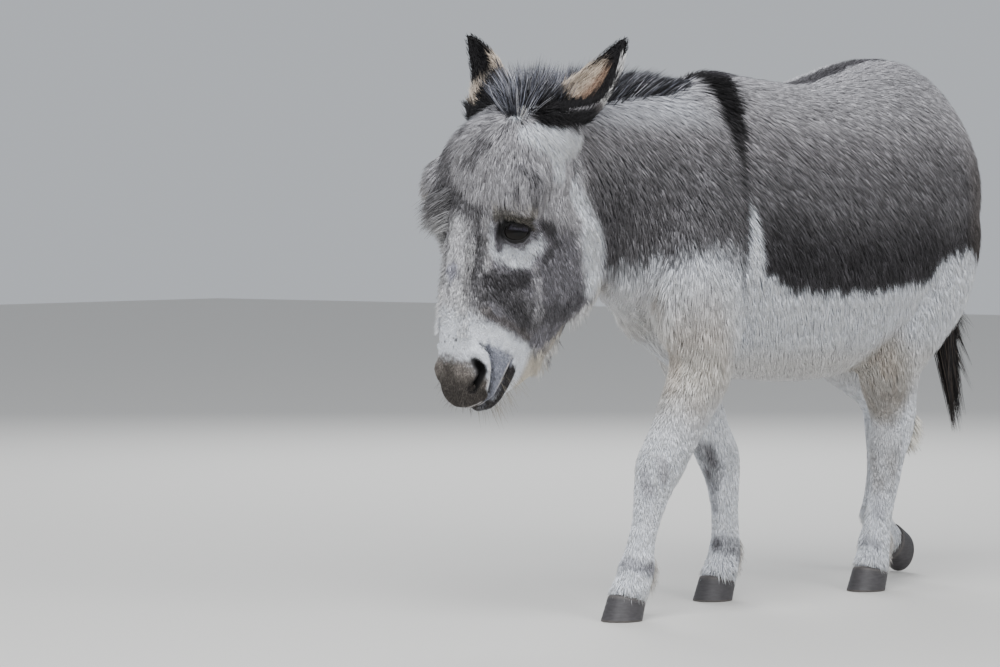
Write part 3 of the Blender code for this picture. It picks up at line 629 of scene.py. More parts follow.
def joinedFlesh():
    bm = bmesh.new()
    for name in skin["flesh"]:
        part = bmesh.new()
        part.from_mesh(nodes[name].data)
        bmesh.ops.remove_doubles(part, verts=part.verts, dist=1e-5)
        part.normal_update()
        for vert in part.verts:
            vert.co += vert.normal * skin["overlap"]
        piece = bpy.data.meshes.new("piece")
        part.to_mesh(piece)
        part.free()
        bm.from_mesh(piece)
        bpy.data.meshes.remove(piece)
    for middle in eyeSpots.values():
        bmesh.ops.create_icosphere(bm, subdivisions=3, radius=0.0215, matrix=Matrix.Translation(middle))
    mesh = bpy.data.meshes.new("flesh")
    bm.to_mesh(mesh)
    bm.free()
    rough = newObject("flesh", mesh)
    remesh = rough.modifiers.new("One skin", "REMESH")
    remesh.mode = "VOXEL"
    remesh.voxel_size = skin["voxel"]
    smooth = rough.modifiers.new("Soften", "SMOOTH")
    smooth.iterations = skin["rounds"]
    whole = bakedMesh(rough, "skin")
    bpy.data.objects.remove(rough)
    return whole


# The head gets finer facets than the body, and the muzzle and eyes finer still
def refine(mesh, chosen):
    bm = bmesh.new()
    bm.from_mesh(mesh)
    bm.verts.ensure_lookup_table()
    wanted = chosen(np.array([vert.co[:] for vert in bm.verts]))
    edges = [edge for edge in bm.edges if wanted[edge.verts[0].index] and wanted[edge.verts[1].index]]
    bmesh.ops.subdivide_edges(bm, edges=edges, cuts=1, use_grid_fill=True)
    bmesh.ops.triangulate(bm, faces=[face for face in bm.faces if len(face.verts) > 4])
    bm.verts.ensure_lookup_table()
    wanted = chosen(np.array([vert.co[:] for vert in bm.verts]))
    fresh = [vert for vert, take in zip(bm.verts, wanted) if take]
    for _ in range(skin["fineRounds"]):
        bmesh.ops.smooth_vert(bm, verts=fresh, factor=0.5, use_axis_x=True, use_axis_y=True, use_axis_z=True)
    bm.to_mesh(mesh)
    bm.free()


def onHeadOnly(points):
    return headShare(toHead(points)) > 0.5


def onMuzzleOrEye(points):
    local = toHead(points)
    muzzle = (local[:, 2] < -0.350) & (local[:, 1] < 0.06)
    _, away, _ = lidGap(foldOver(local))
    return (muzzle | (away < 0.046)) & onHeadOnly(points)


def onNostrilOrLid(points):
    folded = foldOver(toHead(points))
    _, away, _ = lidGap(folded)
    chosen = away < 0.033
    for name, reach in (("nostril", 0.010), ("mouth", 0.008), ("groove", 0.005)):
        chosen |= lineDistance(folded, noseLines[name]) < reach
    return chosen


# Fine shapes of the muzzle and face in millimetres: line, radius, height, and a move in the head's frame
faceShapes = [
    ([(24, -68, -412), (32, -62, -412)], 12, 2, (0, 0, 0)),
    ("wing", 5.5, 3.6, (1, -1, 0)),
    ("nostril", 5.6, -13, (0, 3, 0)),
    ("groove", 3.6, -5, (0, 0, 0)),
    ("lip", 7.5, 2.8, (0, 0, 0)),
    ("lower", 8.5, 3, (0, 0, -4.5)),
    ("mouth", 2.4, -8.5, (0, 0, 0)),
    ([(98, -56, -153), (104, -35, -157)], 8, 3, (0, 0, 0)),
    ([(58, -76, -190), (56, -70, -212)], 10, -3, (0, 0, 0)),
    ([(98, -10, -164), (96, 18, -172)], 4.5, -2.8, (0, 0, 0)),
    ([(72, -36, -222), (84, -12, -214)], 8, 1.8, (0, 0, 0)),
    ([(46, -70, -250), (50, -62, -300)], 12, -2, (0, 0, 0)),
    ([(70, -30, -262), (72, -10, -290), (68, 30, -312)], 14, 2, (0, 0, 0)),
]


def sculptHead(points, normals):
    local = toHead(points)
    inHead = headShare(local) > 0
    mirror = np.where(local[:, 0] < 0, -1.0, 1.0)[:, None] * (1, 0, 0) + (0, 1, 1)
    ways = normals @ headArray[:3, :3] * mirror
    folded = foldOver(local)
    moved = folded.copy()
    for spots, radius, height, move in faceShapes:
        spots = noseLines[spots] if isinstance(spots, str) else mm(spots)
        spread = np.exp(-((lineDistance(folded, spots) / (radius / 1000)) ** 2)) * inHead
        moved += spread[:, None] * (ways * (height / 1000) + mm(move))
    # The lids close smoothly over the ball; inside the opening the skin falls behind it
    gap, reach, angle = lidGap(moved)
    lid = eyeOpening["radius"] + eyeOpening["lidRise"]
    lid = lid - 0.0013 * np.exp(-(((gap - 0.0075) / 0.0016) ** 2)) * (np.sin(angle) > 0)
    meet = np.clip(0.006 - np.abs(reach - lid), 0, None) / 0.006
    over = np.maximum(reach, lid) + meet ** 2 * 0.0015
    inside = ramp(0.0004, -0.0012, gap)
    over = over * (1 - inside) + eyeOpening["floor"] * inside
    nearBall = (reach < eyeOpening["zone"]) & inHead
    swollen = openMiddle + (moved - openMiddle) / reach[:, None] * over[:, None]
    moved[nearBall] = swollen[nearBall]
    return np.where(inHead[:, None], fromHead(moved * mirror), points)


skinMesh = joinedFlesh()
for chosen in (onHeadOnly, onMuzzleOrEye, onNostrilOrLid):
    refine(skinMesh, chosen)
skinPoints, skinNormals = meshArrays(skinMesh)
skinLocal = toHead(skinPoints)
skinHead = headShare(skinLocal)
skinDepth = mixed(coat["depth"], coatShares(skinPoints, skinLocal, skinHead))
setPoints(skinMesh, skinPoints - skinNormals * skinDepth[:, None])
skinPoints, skinNormals = meshArrays(skinMesh)
skinColours = coatColours(skinPoints)
setPoints(skinMesh, sculptHead(skinPoints, skinNormals))
skinMesh.shade_smooth()
skinPoints, skinNormals = meshArrays(skinMesh)
print("skin", len(skinPoints), "points", len(trianglesOf(skinMesh)), "triangles")


# Finishes: the painted colour broken up by noise, and a bump
def makeFinish(name, roughness, specular, paint=(), bump=(), **fixed):
    made = bpy.data.materials.new(name)
    made.use_nodes = True
    places, links = made.node_tree.nodes, made.node_tree.links
    shader = places["Principled BSDF"]
    for socket, value in {"Roughness": roughness, "Specular_IOR_Level": specular, **fixed}.items():
        shader.inputs[socket.replace("_", " ")].default_value = value

    def addNode(kind, **values):
        node = places.new("ShaderNode" + kind)
        for socket, value in values.items():
            node.inputs[socket.replace("_", " ")].default_value = value
        return node

    def addNoise(scale, stretch):
        mapping = addNode("Mapping", Scale=stretch)
        noise = addNode("TexNoise", Scale=scale, Detail=3.0)
        links.new(addNode("TexCoord").outputs["Object"], mapping.inputs["Vector"])
        links.new(mapping.outputs["Vector"], noise.inputs["Vector"])
        return noise.outputs["Fac"]

    if paint:
        scale, low, high, stretch = paint
        painted = addNode("Attribute")
        painted.attribute_name = "coatColour"
        span = addNode("MapRange", From_Min=0.3, From_Max=0.7, To_Min=low, To_Max=high)
        links.new(addNoise(scale, stretch), span.inputs["Value"])
        scaled = addNode("VectorMath")
        scaled.operation = "SCALE"
        links.new(painted.outputs["Color"], scaled.inputs[0])
        links.new(span.outputs["Result"], scaled.inputs["Scale"])
        links.new(scaled.outputs["Vector"], shader.inputs["Base Color"])
    if bump:
        scale, stretch, strength, distance = bump
        raised = addNode("Bump", Strength=strength, Distance=distance)
        links.new(addNoise(scale, stretch), raised.inputs["Height"])
        links.new(raised.outputs["Normal"], shader.inputs["Normal"])
    return made


# paint: scale, darkest, lightest, stretch; bump: scale, stretch, strength, distance
even = (1, 1, 1)
downward = (1, 1, 0.4)
skinFinish = makeFinish("short hair over skin", 0.78, 0.25, (420.0, 0.72, 1.12, downward),
                        (700.0, downward, 0.55, 0.0012))
hairFinish = makeFinish("coat hair", 0.62, 0.35, (60.0, 0.88, 1.10, even))
eyeFinish = makeFinish("eyeball", 0.30, 0.0, (300.0, 0.8, 1.2, even), Coat_Weight=0.42, Coat_Roughness=0.15)
lidFinish = makeFinish("eyelid skin", 0.55, 0.30, (500.0, 0.8, 1.2, even), (900.0, even, 0.35, 0.0008))
hornFinish = makeFinish("hoof horn", 0.52, 0.4, (90.0, 0.78, 1.2, (1, 1, 4)),
                        (60.0, (0.4, 0.4, 6.0), 0.5, 0.0012))


def finishPiece(name, mesh, finish, replaced=()):
    mesh.materials.clear()
    mesh.materials.append(finish)
    made = newObject(name, mesh)
    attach(made, "root")
    if replaced:
        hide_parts(*replaced)


# Painted shade: the skin is painted darker than the coat over it, most under dark coat, so the gaps between
# tufts look shaded
skinLight = skinColours.mean(axis=1)[:, None]
paintMesh(skinMesh, skinColours * (0.66 + 0.34 * ramp(0.1, 0.6, skinLight)))
finishPiece("skin", skinMesh, skinFinish, skin["flesh"])
print("skin finished")


# Tufts: each is a closed spindle with a root under the skin, rings and a tip
patchWidth = 0.003  # each tuft's patch on its piece's map


# Triangles of one tuft, wound so that they look outwards
def spindleFaces(rings):
    faces = [(0, 2, 1), (0, 3, 2), (0, 1, 3)]
    for ring in range(rings - 1):
        a, b = 1 + 3 * ring, 4 + 3 * ring
        for k in range(3):
            n = (k + 1) % 3
            faces += [(a + k, a + n, b + n), (a + k, b + n, b + k)]
    last = 1 + 3 * (rings - 1)
    tip = last + 3
    return faces + [(last, last + 1, tip), (last + 1, last + 2, tip), (last + 2, last, tip)]


# lines: roots, ring middles and tips in order; each ring has a share of the width, and each station a shade;
# the darker shades at the root are painted shade
def tuftMesh(name, lines, ups, widths, ringWidths, colours, shadesAlong, maps):
    count, stations = lines.shape[:2]
    widths = np.broadcast_to(widths, count)
    rings = stations - 2
    chord = unit(lines[:, -1] - lines[:, 0])
    sides = unit(np.cross(chord, ups))
    rises = unit(np.cross(sides, chord))
    perTuft = 2 + 3 * rings
    points, tint = np.empty((2, count, perTuft, 3))
    for end in (0, -1):
        points[:, end] = lines[:, end]
        tint[:, end] = colours * shadesAlong[end]
    for ring, share in enumerate(ringWidths):
        half = (widths * share / 2)[:, None]
        centre = lines[:, ring + 1]
        own = slice(1 + 3 * ring, 4 + 3 * ring)
        points[:, own] = columns(centre + sides * half, centre + rises * half * 0.8, centre - sides * half)
        tint[:, own] = (colours * shadesAlong[ring + 1])[:, None]
    faces = (np.array(spindleFaces(rings)) + (np.arange(count) * perTuft)[:, None, None]).reshape(-1, 3)
    mesh = bpy.data.meshes.new(name)
    mesh.vertices.add(count * perTuft)
    mesh.vertices.foreach_set("co", points.ravel())
    mesh.loops.add(len(faces) * 3)
    mesh.loops.foreach_set("vertex_index", faces.ravel())
    mesh.polygons.add(len(faces))
    mesh.polygons.foreach_set("loop_start", np.arange(len(faces)) * 3)
    mesh.polygons.foreach_set("use_smooth", np.ones(len(faces), bool))
    mesh.update(calc_edges=True)
    paintMesh(mesh, np.clip(tint, 0, 1).reshape(-1, 3))
    # Patch of the map for each tuft: its faces laid round the root's place
    turn = 2 * math.pi * np.arange(perTuft) / perTuft
    spread = patchWidth / 2 * columns(np.cos(turn), np.sin(turn))
    spots = (maps[:, None] + spread[None]).reshape(-1, 2)
    layer = mesh.uv_layers.new(name="OFBake")
    layer.data.foreach_set("uv", spots[faces.ravel()].astype(np.float32).ravel())
    return mesh


def areasOf(points, triangles):
    corners = points[triangles]
    return np.linalg.norm(np.cross(corners[:, 1] - corners[:, 0], corners[:, 2] - corners[:, 0]), axis=1) / 2


# Random spots on the picked triangles, and the surface's normals there
def spotsOn(points, normals, picked, rng):
    one, two = rng.random((2, len(picked)))
    over = one + two > 1
    one[over], two[over] = 1 - one[over], 1 - two[over]
    weights = columns(1 - one - two, one, two)
    spots = np.einsum("nk,nkd->nd", weights, points[picked])
    return spots, unit(np.einsum("nk,nkd->nd", weights, normals[picked]))


# Roots spread evenly over triangles, closer where the spacing is small: too many, then one kept in each cell
scattering = {"seed": 21, "extra": 1.9, "cell": 0.86, "sizeStep": 0.06}


def scatter(points, normals, triangles, spacing):
    rng = np.random.default_rng(scattering["seed"])
    gap = spacing[triangles].mean(axis=1)
    wanted = areasOf(points, triangles) / gap ** 2 * scattering["extra"]
    wanted[~np.isfinite(wanted)] = 0
    whole = np.floor(wanted + rng.random(len(wanted))).astype(int)
    pick = np.repeat(np.arange(len(triangles)), whole)
    spots, ways = spotsOn(points, normals, triangles[pick], rng)
    level = np.round(np.log(gap[pick] / 0.001) / scattering["sizeStep"])
    cell = 0.001 * np.exp(level * scattering["sizeStep"]) * scattering["cell"]
    key = np.floor(spots / cell[:, None] + 500).astype(np.int64)
    code = ((key[:, 0] * 1009 + key[:, 1]) * 100003 + key[:, 2]) * 64 + level.astype(np.int64)
    _, first = np.unique(code, return_index=True)
    first.sort()
    return spots[first], ways[first]


# Index of the nearest of the places to each spot
def nearestOf(places, spots):
    tree = KDTree(len(places))
    for index, place in enumerate(places):
        tree.insert(place, index)
    tree.balance()
    return np.fromiter((tree.find(spot)[1] for spot in spots), int, len(spots))


# Some of the roots lead, and each root follows the nearest of those
def nearestSeeds(roots, every, seed):
    seeds = np.random.default_rng(seed).choice(len(roots), max(len(roots) // every, 1), replace=False)
    return seeds, nearestOf(roots[seeds], roots)


# Locks of the coat: how many roots share one, how far they lean to it, and how their shades vary
clumps = {"every": 5, "pull": 0.42, "streak": 0.17, "own": 0.25, "whiteCalm": 0.78, "darkOnes": 0.04,
          "inDark": 1.35}

hoofNames = ["fore_left", "fore_right", "hind_left", "hind_right"]


# Bare places: lids, inside of the nostrils and mouth, under the hooves' rims
def bareSkin(points, local):
    folded = foldOver(local)
    gap, away, angle = lidGap(folded)
    bare = (gap < np.where(angle > 0.25, 0.0026, 0.0046)) & (away < eyeOpening["zone"])
    for spots, radius in eyeCorners:
        bare |= lineDistance(folded, spots) < radius
    for name, reach in (("nostril", 0.0072), ("mouth", 0.0036), ("lower", 0.0050), ("groove", 0.0022)):
        bare |= lineDistance(folded, noseLines[name]) < reach
    bare |= np.linalg.norm((folded - (0.040, -0.045, -0.412)) / (0.012, 0.010, 0.020), axis=1) < 1.0
    for name in hoofNames:
        low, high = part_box("hoof_" + name)
        inside = np.all((points > np.array(low) - 0.001) & (points < np.array(high) + 0.001), axis=1)
        if name == "hind_right":
            inside &= points[:, 1] > low.y + 0.012
        else:
            inside &= points[:, 2] < high.z - 0.010
        bare |= inside
    return bare


# Which piece of the coat a root belongs to, and its place on that piece's map
def coatPieces(points, local, head):
    left = points[:, 0] > coat["midline"]
    headLeft = local[:, 0] > 0
    kinds = np.full(len(points), "", dtype="U24")
    onHead = head > 0.5
    legs = ~onHead & (points[:, 2] < 0.40) & ~((points[:, 2] > 0.34) & (np.abs(points[:, 1] - 0.06) < 0.13))
    neck = ~onHead & ~legs & (points[:, 1] < -0.16)
    rest = ~onHead & ~legs & ~neck
    mid, rear = rest & (points[:, 1] < 0.10), rest & (points[:, 1] >= 0.31)
    for mask, name in ((neck, "neck"), (mid, "barrel"), (rest & ~mid & ~rear, "flank"), (rear, "rump")):
        kinds[mask & left] = name + "_left"
        kinds[mask & ~left] = name + "_right"
    kinds[legs & (points[:, 1] < 0.12)] = "legs_fore"
    kinds[legs & (points[:, 1] >= 0.12)] = "legs_hind"
    kinds[onHead & headLeft] = "head_left"
    kinds[onHead & ~headLeft] = "head_right"
    return kinds


def fitted(values, low, high):
    return low + (high - low) * (values - values.min()) / max(np.ptp(values), 1e-6)


def coatMap(kind, points, local):
    if kind.startswith("head"):
        angle = np.arctan2(local[:, 1] - 0.03, np.abs(local[:, 0]) + 0.004)
        return columns(fitted(angle, 0.02, 0.98), fitted(local[:, 2] - 0.25 * local[:, 1], 0.02, 0.98))
    if kind.startswith("legs"):
        left = points[:, 0] > coat["midline"]
        angle = np.empty(len(points))
        for chosen in (left, ~left):
            level = points[chosen, 2]
            bands = np.linspace(level.min(), level.max(), 24)
            slot = np.digitize(level, bands)
            place = points[chosen, :2]
            middle = np.array([place[slot == k].mean(axis=0) if np.any(slot == k) else place.mean(axis=0)
                               for k in range(26)])
            away = place - middle[slot]
            angle[chosen] = np.arctan2(away[:, 1], away[:, 0]) / (2 * math.pi) + 0.5
        return columns(0.02 + 0.46 * angle + 0.50 * left, fitted(points[:, 2], 0.02, 0.98))
    angle = np.arctan2(points[:, 2] - 0.60, np.abs(points[:, 0] - coat["midline"]) + 0.02)
    return columns(fitted(points[:, 1], 0.02, 0.98), fitted(angle, 0.02, 0.98))


def growCoat():
    shares = coatShares(skinPoints, skinLocal, skinHead)
    spacing = mixed(coat["spacing"], shares)
    spacing = np.where(bareSkin(skinPoints, toHead(skinPoints)), np.inf, spacing)
    roots, ups = scatter(skinPoints, skinNormals, trianglesOf(skinMesh), spacing)
    local = toHead(roots)
    head = headShare(local)
    shares = coatShares(roots, local, head)
    rng = np.random.default_rng(33)
    length = mixed(coat["length"], shares) * rng.uniform(0.72, 1.25, len(roots))
    width = mixed(coat["width"], shares) * rng.uniform(0.75, 1.25, len(roots))
    depth = mixed(coat["depth"], shares)
    shaggy = (1 - head) * ramp(-0.12, -0.20, roots[:, 1]) * ramp(0.62, 0.54, roots[:, 2])
    shaggy *= ramp(0.32, 0.42, roots[:, 2])
    length *= 1 + 0.35 * shaggy
    # Shorter hair round the eye, and a brow that ends above it
    _, away, angle = lidGap(foldOver(local))
    byEye = ramp(0.046, 0.028, away) * (head > 0.5)
    length *= 1 - 0.55 * byEye
    width *= 1 - 0.30 * byEye
    above = (angle > 0.1) & (angle < 3.0) & (head > 0.5) & (away < 0.075)
    clear = np.where(local[:, 0] > 0, 0.030, 0.014)
    far = (head > 0.5) * ramp(-0.045, -0.070, local[:, 0]) * near(local[:, 2], -0.150, 0.060)
    length *= 1 + 0.55 * far
    length[above] = np.minimum(length[above], np.maximum(0.006, (away - clear)[above]))
    steady = ramp(0.40, 0.30, roots[:, 2])[:, None]
    flow = coatFlow(roots, ups, local, head)
    flow = unit(flow + 0.8 * far[:, None] * turnFromHead((-0.9, -0.25, -0.8)))
    flow = unit(flow + (0.11 - 0.05 * steady) * rng.normal(size=flow.shape))
    flow = flattened(flow, ups)
    seeds, owner = nearestSeeds(roots, clumps["every"], 44)
    lift = depth * rng.uniform(0.50, 1.05, len(roots)) * (1 - 0.30 * steady[:, 0])
    coronet = (1 - head) * ramp(0.080, 0.055, roots[:, 2])
    lift *= 1 + 2.0 * coronet
    length *= 1 + 0.25 * coronet
    base = roots - ups * 0.0012
    ring = roots + flow * (length * 0.36)[:, None] + ups * (lift * 0.72)[:, None]
    tip = roots + flow * (length * 0.97)[:, None] + ups * lift[:, None]
    goal = roots[seeds] + (flow * length[:, None])[seeds] * 1.05 + ups[seeds] * lift[seeds, None]
    pull = clumps["pull"] * rng.uniform(0.3, 1.0, len(roots))[:, None]
    pull = pull * (1 - 0.7 * steady + 0.3 * shaggy[:, None])
    tip += (goal[owner] - tip) * pull
    ring += (goal[owner] - tip) * pull * 0.10
    colours = coatColours(roots + flow * (length * 0.35)[:, None])
    light = np.mean(colours, axis=1)
    calm = 1 - clumps["whiteCalm"] * ramp(0.30, 0.65, light)
    calm *= (1 + (clumps["inDark"] - 1) * ramp(0.10, 0.035, light)) * (1 - 0.5 * steady[:, 0])
    clumpShade = rng.normal(size=len(seeds))
    clumpShade[rng.random(len(seeds)) < clumps["darkOnes"]] = -2.6
    streaks = clumps["streak"] * clumpShade[owner] + clumps["own"] * rng.normal(size=len(roots))
    colours = colours * np.clip(np.exp(calm * streaks), 0.25, 2.2)[:, None]
    # Painted shade: each tuft is darker at its root, least in the pale coat, and lighter towards its tip
    rootPaintedShade = (0.55 + 0.43 * ramp(0.1, 0.6, light))[:, None]
    kinds = coatPieces(roots, local, head)
    lines = columns(base, ring, tip)
    total = 0
    for kind in np.unique(kinds):
        chosen = kinds == kind
        maps = coatMap(kind, roots[chosen], local[chosen])
        mesh = tuftMesh("coat_" + kind, lines[chosen], ups[chosen], width[chosen], [1.0],
                        colours[chosen], [rootPaintedShade[chosen], 0.94, 1.14], maps)
        count = len(mesh.polygons)
        total += count
        print("coat", kind, count)
        finishPiece("coat_" + kind, mesh, hairFinish)
    print("coat in all", total)


growCoat()


# Eyes: a clear dark ball with a painted reflection on its upper half, the rims of its lids, and lashes
eyes = {
    "iris": (14, 10, 8), "paintedReflection": (74, 71, 82), "white": (16, 13, 12), "pupil": (3, 3, 4),
    "look": (0.86, -0.50, -0.10), "lashes": 110, "around": 84,
    # rim of the lid: steps out from the opening's edge and up from the ball
    "rim": [(0.0016, -0.0012), (0.0000, 0.0002), (-0.0005, 0.0008), (-0.0004, 0.0015), (0.0006, 0.0021),
            (0.0020, 0.0024), (0.0036, 0.0023), (0.0052, 0.0017), (0.0060, 0.0008), (0.0040, 0.0000)],
}


# Place over the ball at an angle round the opening, a step out from its edge and a height
def overBall(mirror, angles, out, height):
    arc = edgeArc(angles) + out
    way = np.cos(angles)[:, None] * openAlong + np.sin(angles)[:, None] * (0, 0, 1.0)
    swing = (arc / eyeOpening["radius"])[:, None]
    spot = openLook * np.cos(swing) + way * np.sin(swing)
    spots = openMiddle + spot * np.reshape(eyeOpening["radius"] + height, (-1, 1))
    return fromHead(spots * (mirror, 1, 1)), turnFromHead(spot * (mirror, 1, 1))


def makeEye(side):
    mirror = 1 if side == "left" else -1
    middle = eyeSpots[side]
    bm = bmesh.new()
    bmesh.ops.create_uvsphere(bm, u_segments=48, v_segments=32, radius=eyeOpening["radius"] + 0.0002)
    look = turnFromHead(unit(np.array([eyes["look"]]) * (mirror, 1, 1)))[0]
    turn = Vector(look).to_track_quat("Z", "Y").to_matrix().to_4x4()
    bmesh.ops.transform(bm, matrix=Matrix.Translation(middle) @ turn, verts=bm.verts[:])
    mesh = meshFrom(bm, "eyeball_" + side)
    points, _ = meshArrays(mesh)
    away = unit(points - middle)
    facing = away @ look
    points += away * (0.0008 * ramp(0.72, 0.92, facing))[:, None]
    setPoints(mesh, points)
    up = turnFromHead((0, 0, 1.0))
    across = np.cross(up, look)
    colours, paint = ground(len(points), eyes["white"])
    paint(eyes["iris"], ramp(0.40, 0.55, facing))
    # painted reflection: a lighter lilac-grey on the upper half of the ball, where the soft light would show
    # in it
    paint(eyes["paintedReflection"], ramp(0.02, 0.24, away @ up) * ramp(0.50, 0.75, facing))
    pupil = np.hypot(away @ across / 0.42, (away @ up + 0.10) / 0.20)
    paint(eyes["pupil"], ramp(1.25, 0.85, pupil) * (facing > 0))
    paintMesh(mesh, colours)
    finishPiece("eyeball_" + side, mesh, eyeFinish, ["eye_" + side])

    angles = np.linspace(0, 2 * math.pi, eyes["around"], endpoint=False)
    bm = bmesh.new()
    thicker = 1 + 0.25 * np.clip(np.sin(angles), 0, 1)
    rings = [ringOf(bm, overBall(mirror, angles, out * thicker, height)[0]) for out, height in eyes["rim"]]
    wallOver(bm, rings, closed=True)
    lids = meshFrom(bm, "eyelids_" + side)
    spots, _ = meshArrays(lids)
    paintMesh(lids, ground(len(spots), "eyeSkin")[0])
    finishPiece("eyelids_" + side, lids, lidFinish)

    # Lashes along the upper lid, hanging out over the ball
    rng = np.random.default_rng(7)
    count = eyes["lashes"]
    angles = np.linspace(0.10 * math.pi, 0.88 * math.pi, count) + rng.normal(size=count) * 0.03
    spots, away = overBall(mirror, angles, -0.0004 + 0.0012 * rng.random(count), np.full(count, 0.0026))
    long = rng.uniform(0.008, 0.014, count)[:, None]
    out = unit(0.75 * away - 0.55 * up + 0.12 * rng.normal(size=spots.shape))
    lines = columns(spots, spots + out * long * 0.5, spots + out * long * 0.85 - up * long * 0.5)
    lashes = tuftMesh("lashes_" + side, lines, np.tile(up, (count, 1)), 0.0008, [1.0],
                      ground(count, (20, 18, 18))[0], [1, 1, 1],
                      columns(fitted(angles, 0.05, 0.95), np.full(count, 0.5)))
    finishPiece("lashes_" + side, lashes, hairFinish)


for side in ("left", "right"):
    makeEye(side)
print("eyes finished")


# Ears: cupped shells on a bent line from the root to the tip
ears = {
    # share of the length, half of the width, depth, turn of the shell to each side, thickness
    "rows": [(-0.10, 0.026, 0.024, 150, 0.0080), (0.04, 0.035, 0.031, 140, 0.0080),
             (0.18, 0.040, 0.032, 122, 0.0075), (0.36, 0.038, 0.029, 108, 0.0070),
             (0.55, 0.032, 0.024, 102, 0.0065), (0.74, 0.024, 0.017, 98, 0.0060),
             (0.90, 0.0145, 0.011, 94, 0.0050), (1.00, 0.0060, 0.0055, 90, 0.0035)],
    # root, reach to the tip and facing, in the head's frame
    "left": ((0.068, 0.022, 0.000), (0.022, 0.143, 0.122), (0.3, -1.0, 0.2)),
    "right": ((-0.093, 0.018, -0.002), (-0.106, 0.088, 0.122), (-0.2, -1.0, 0.2)),
    "inset": 0.0026, "arc": 15, "steps": 30, "spacing": 0.0021, "quickSpacing": 0.0032,
}


def makeEar(side):
    rootLocal, reach, facing = (np.array(part) for part in ears[side])
    root = fromHead(rootLocal)
    along = reach / np.linalg.norm(reach)
    front = facing - along * facing.dot(along)
    front /= np.linalg.norm(front)
    across = np.cross(along, front)
    rows = np.array(ears["rows"])
    shares = np.linspace(0, 1, ears["steps"]) ** 0.9
    stations = [np.interp(shares, np.linspace(0, 1, len(rows)), rows[:, k]) for k in range(5)]
    bm = bmesh.new()
    rings, facts = [], []
    for share, half, deep, wrap, thick in zip(*stations):
        centre = root + reach * min(share, 0.985) - front * 0.02 * math.sin(math.pi * max(share, 0.0))
        ring = []
        for layer, order in ((0, range(ears["arc"])), (1, range(ears["arc"])[::-1])):
            for index in order:
                place = 2 * index / (ears["arc"] - 1) - 1
                angle = math.radians(wrap) * place
                edge = 1 - abs(place) ** 6
                wall = ears["inset"] + layer * max(thick - 2 * ears["inset"], 0.0012) * (0.25 + 0.75 * edge)
                spot = centre + across * max(half - wall, 0.001) * math.sin(angle)
                spot = spot - front * max(deep - wall, 0.001) * math.cos(angle)
                ring.append(spot)
                facts.append((share, place, layer))
        rings.append(ringOf(bm, ring))
    wallOver(bm, rings)
    mesh = meshFrom(bm, "ear_skin_" + side)
    share, place, layer = np.array(facts).T
    colours = earColours(share, place, layer, side)
    # painted shade: the ear's skin is darker than its hair, so the gaps between the hairs look shaded
    paintMesh(mesh, colours * 0.8)
    finishPiece("ear_skin_" + side, mesh, skinFinish, ["ear_" + side])

    # Hair on the ear: short outside, longer and pale inside
    points, normals = meshArrays(mesh)
    spacing = np.full(len(points), ears["spacing"])
    roots, ups = scatter(points, normals, trianglesOf(mesh), spacing)
    nearest = nearestOf(points, roots)
    share, place, layer = share[nearest], place[nearest], layer[nearest]
    rng = np.random.default_rng(51)
    length = np.where(layer > 0.5, 0.016, 0.010) * rng.uniform(0.7, 1.3, len(roots))
    length = np.where((layer > 0.5) & (np.abs(place) > 0.55) & (share < 0.7), length * 1.35, length)
    length *= 1 - 0.45 * ramp(0.80, 1.0, share)
    lift = np.where(layer > 0.5, 0.0050, 0.0024) * rng.uniform(0.7, 1.2, len(roots))
    flow = np.tile(along, (len(roots), 1)) + 0.12 * rng.normal(size=roots.shape)
    inward = (-np.sign(place) * (layer > 0.5) * ramp(0.4, 0.9, np.abs(place)))[:, None]
    flow += 0.55 * inward * across + 0.35 * np.abs(inward) * front
    flow = flattened(flow, ups)
    ring = roots + flow * (length * 0.4)[:, None] + ups * (lift * 0.7)[:, None]
    lines = columns(roots - ups * 0.0008, ring, roots + flow * length[:, None] + ups * lift[:, None])
    tint = varied(earColours(share, place, layer, side), 0.22, rng)
    maps = columns(fitted(place, 0.02, 0.47) + 0.5 * (layer > 0.5), fitted(share, 0.02, 0.98))
    # painted shade: the ear's hair is darker at its root, lighter towards its tip
    hair = tuftMesh("ear_hair_" + side, lines, ups, 0.0013, [1.0], tint, [0.7, 0.95, 1.1], maps)
    print("ear", side, len(hair.polygons))
    finishPiece("ear_hair_" + side, hair, hairFinish)


def earColours(share, place, layer, side):
    outer = place * (1 if side == "left" else -1)
    inside = layer > 0.5
    colours, paint = ground(len(share), (92, 88, 88))
    paint("mouse", (outer > 0.88) * ramp(0.36, 0.20, share) * (side == "left"))
    warm = (158, 130, 110) if side == "left" else (206, 192, 176)
    paint(warm, inside * 0.95)
    paint((206, 190, 172), inside * ramp(-0.10, -0.55, outer))
    paint((206, 192, 176), ~inside * (outer > 0.55) * near(share, 0.42, 0.14) * (side == "right"))
    limit = [-0.10, -0.05, 0.02, 0.08] if side == "left" else [1.60, 1.40, 0.55, 0.00]
    limit = np.interp(share, [0.2, 0.4, 0.6, 0.8], limit)
    paint("black", inside * ramp(-0.06, 0.06, outer - limit))
    paint("black", ramp(-0.80, -0.90, outer) * ramp(0.56, 0.68, share))
    tip = 0.70 if side == "left" else 0.58
    paint("black", ramp(tip - 0.06, tip + 0.06, share + 0.06 * outer))
    pale = ramp(0.30, 0.38, share) * ramp(0.90, 0.80, share)
    rear = outer - np.interp(share, [0.3, 0.8], [0.60, 0.78])
    pale = pale * np.where(inside, ramp(0.0, 0.06, rear), ramp(0.40, 0.52, outer))
    paint((214, 212, 210), pale * (side == "left"))
    base = 0.42 + 0.26 * outer if side == "left" else 0.28 - 0.06 * outer
    paint("black", ramp(0.04, -0.04, share - base) * inside)
    paint("black", ramp(0.30, 0.18, share) * (outer < 0.92))
    return colours


for side in ("left", "right"):
    makeEar(side)
print("ears finished")


# Mane: upright hair along the crest, from between the ears to the withers
mane = {"count": 6500, "halfWidth": 0.015, "rootDrop": 0.004, "width": 0.0014}


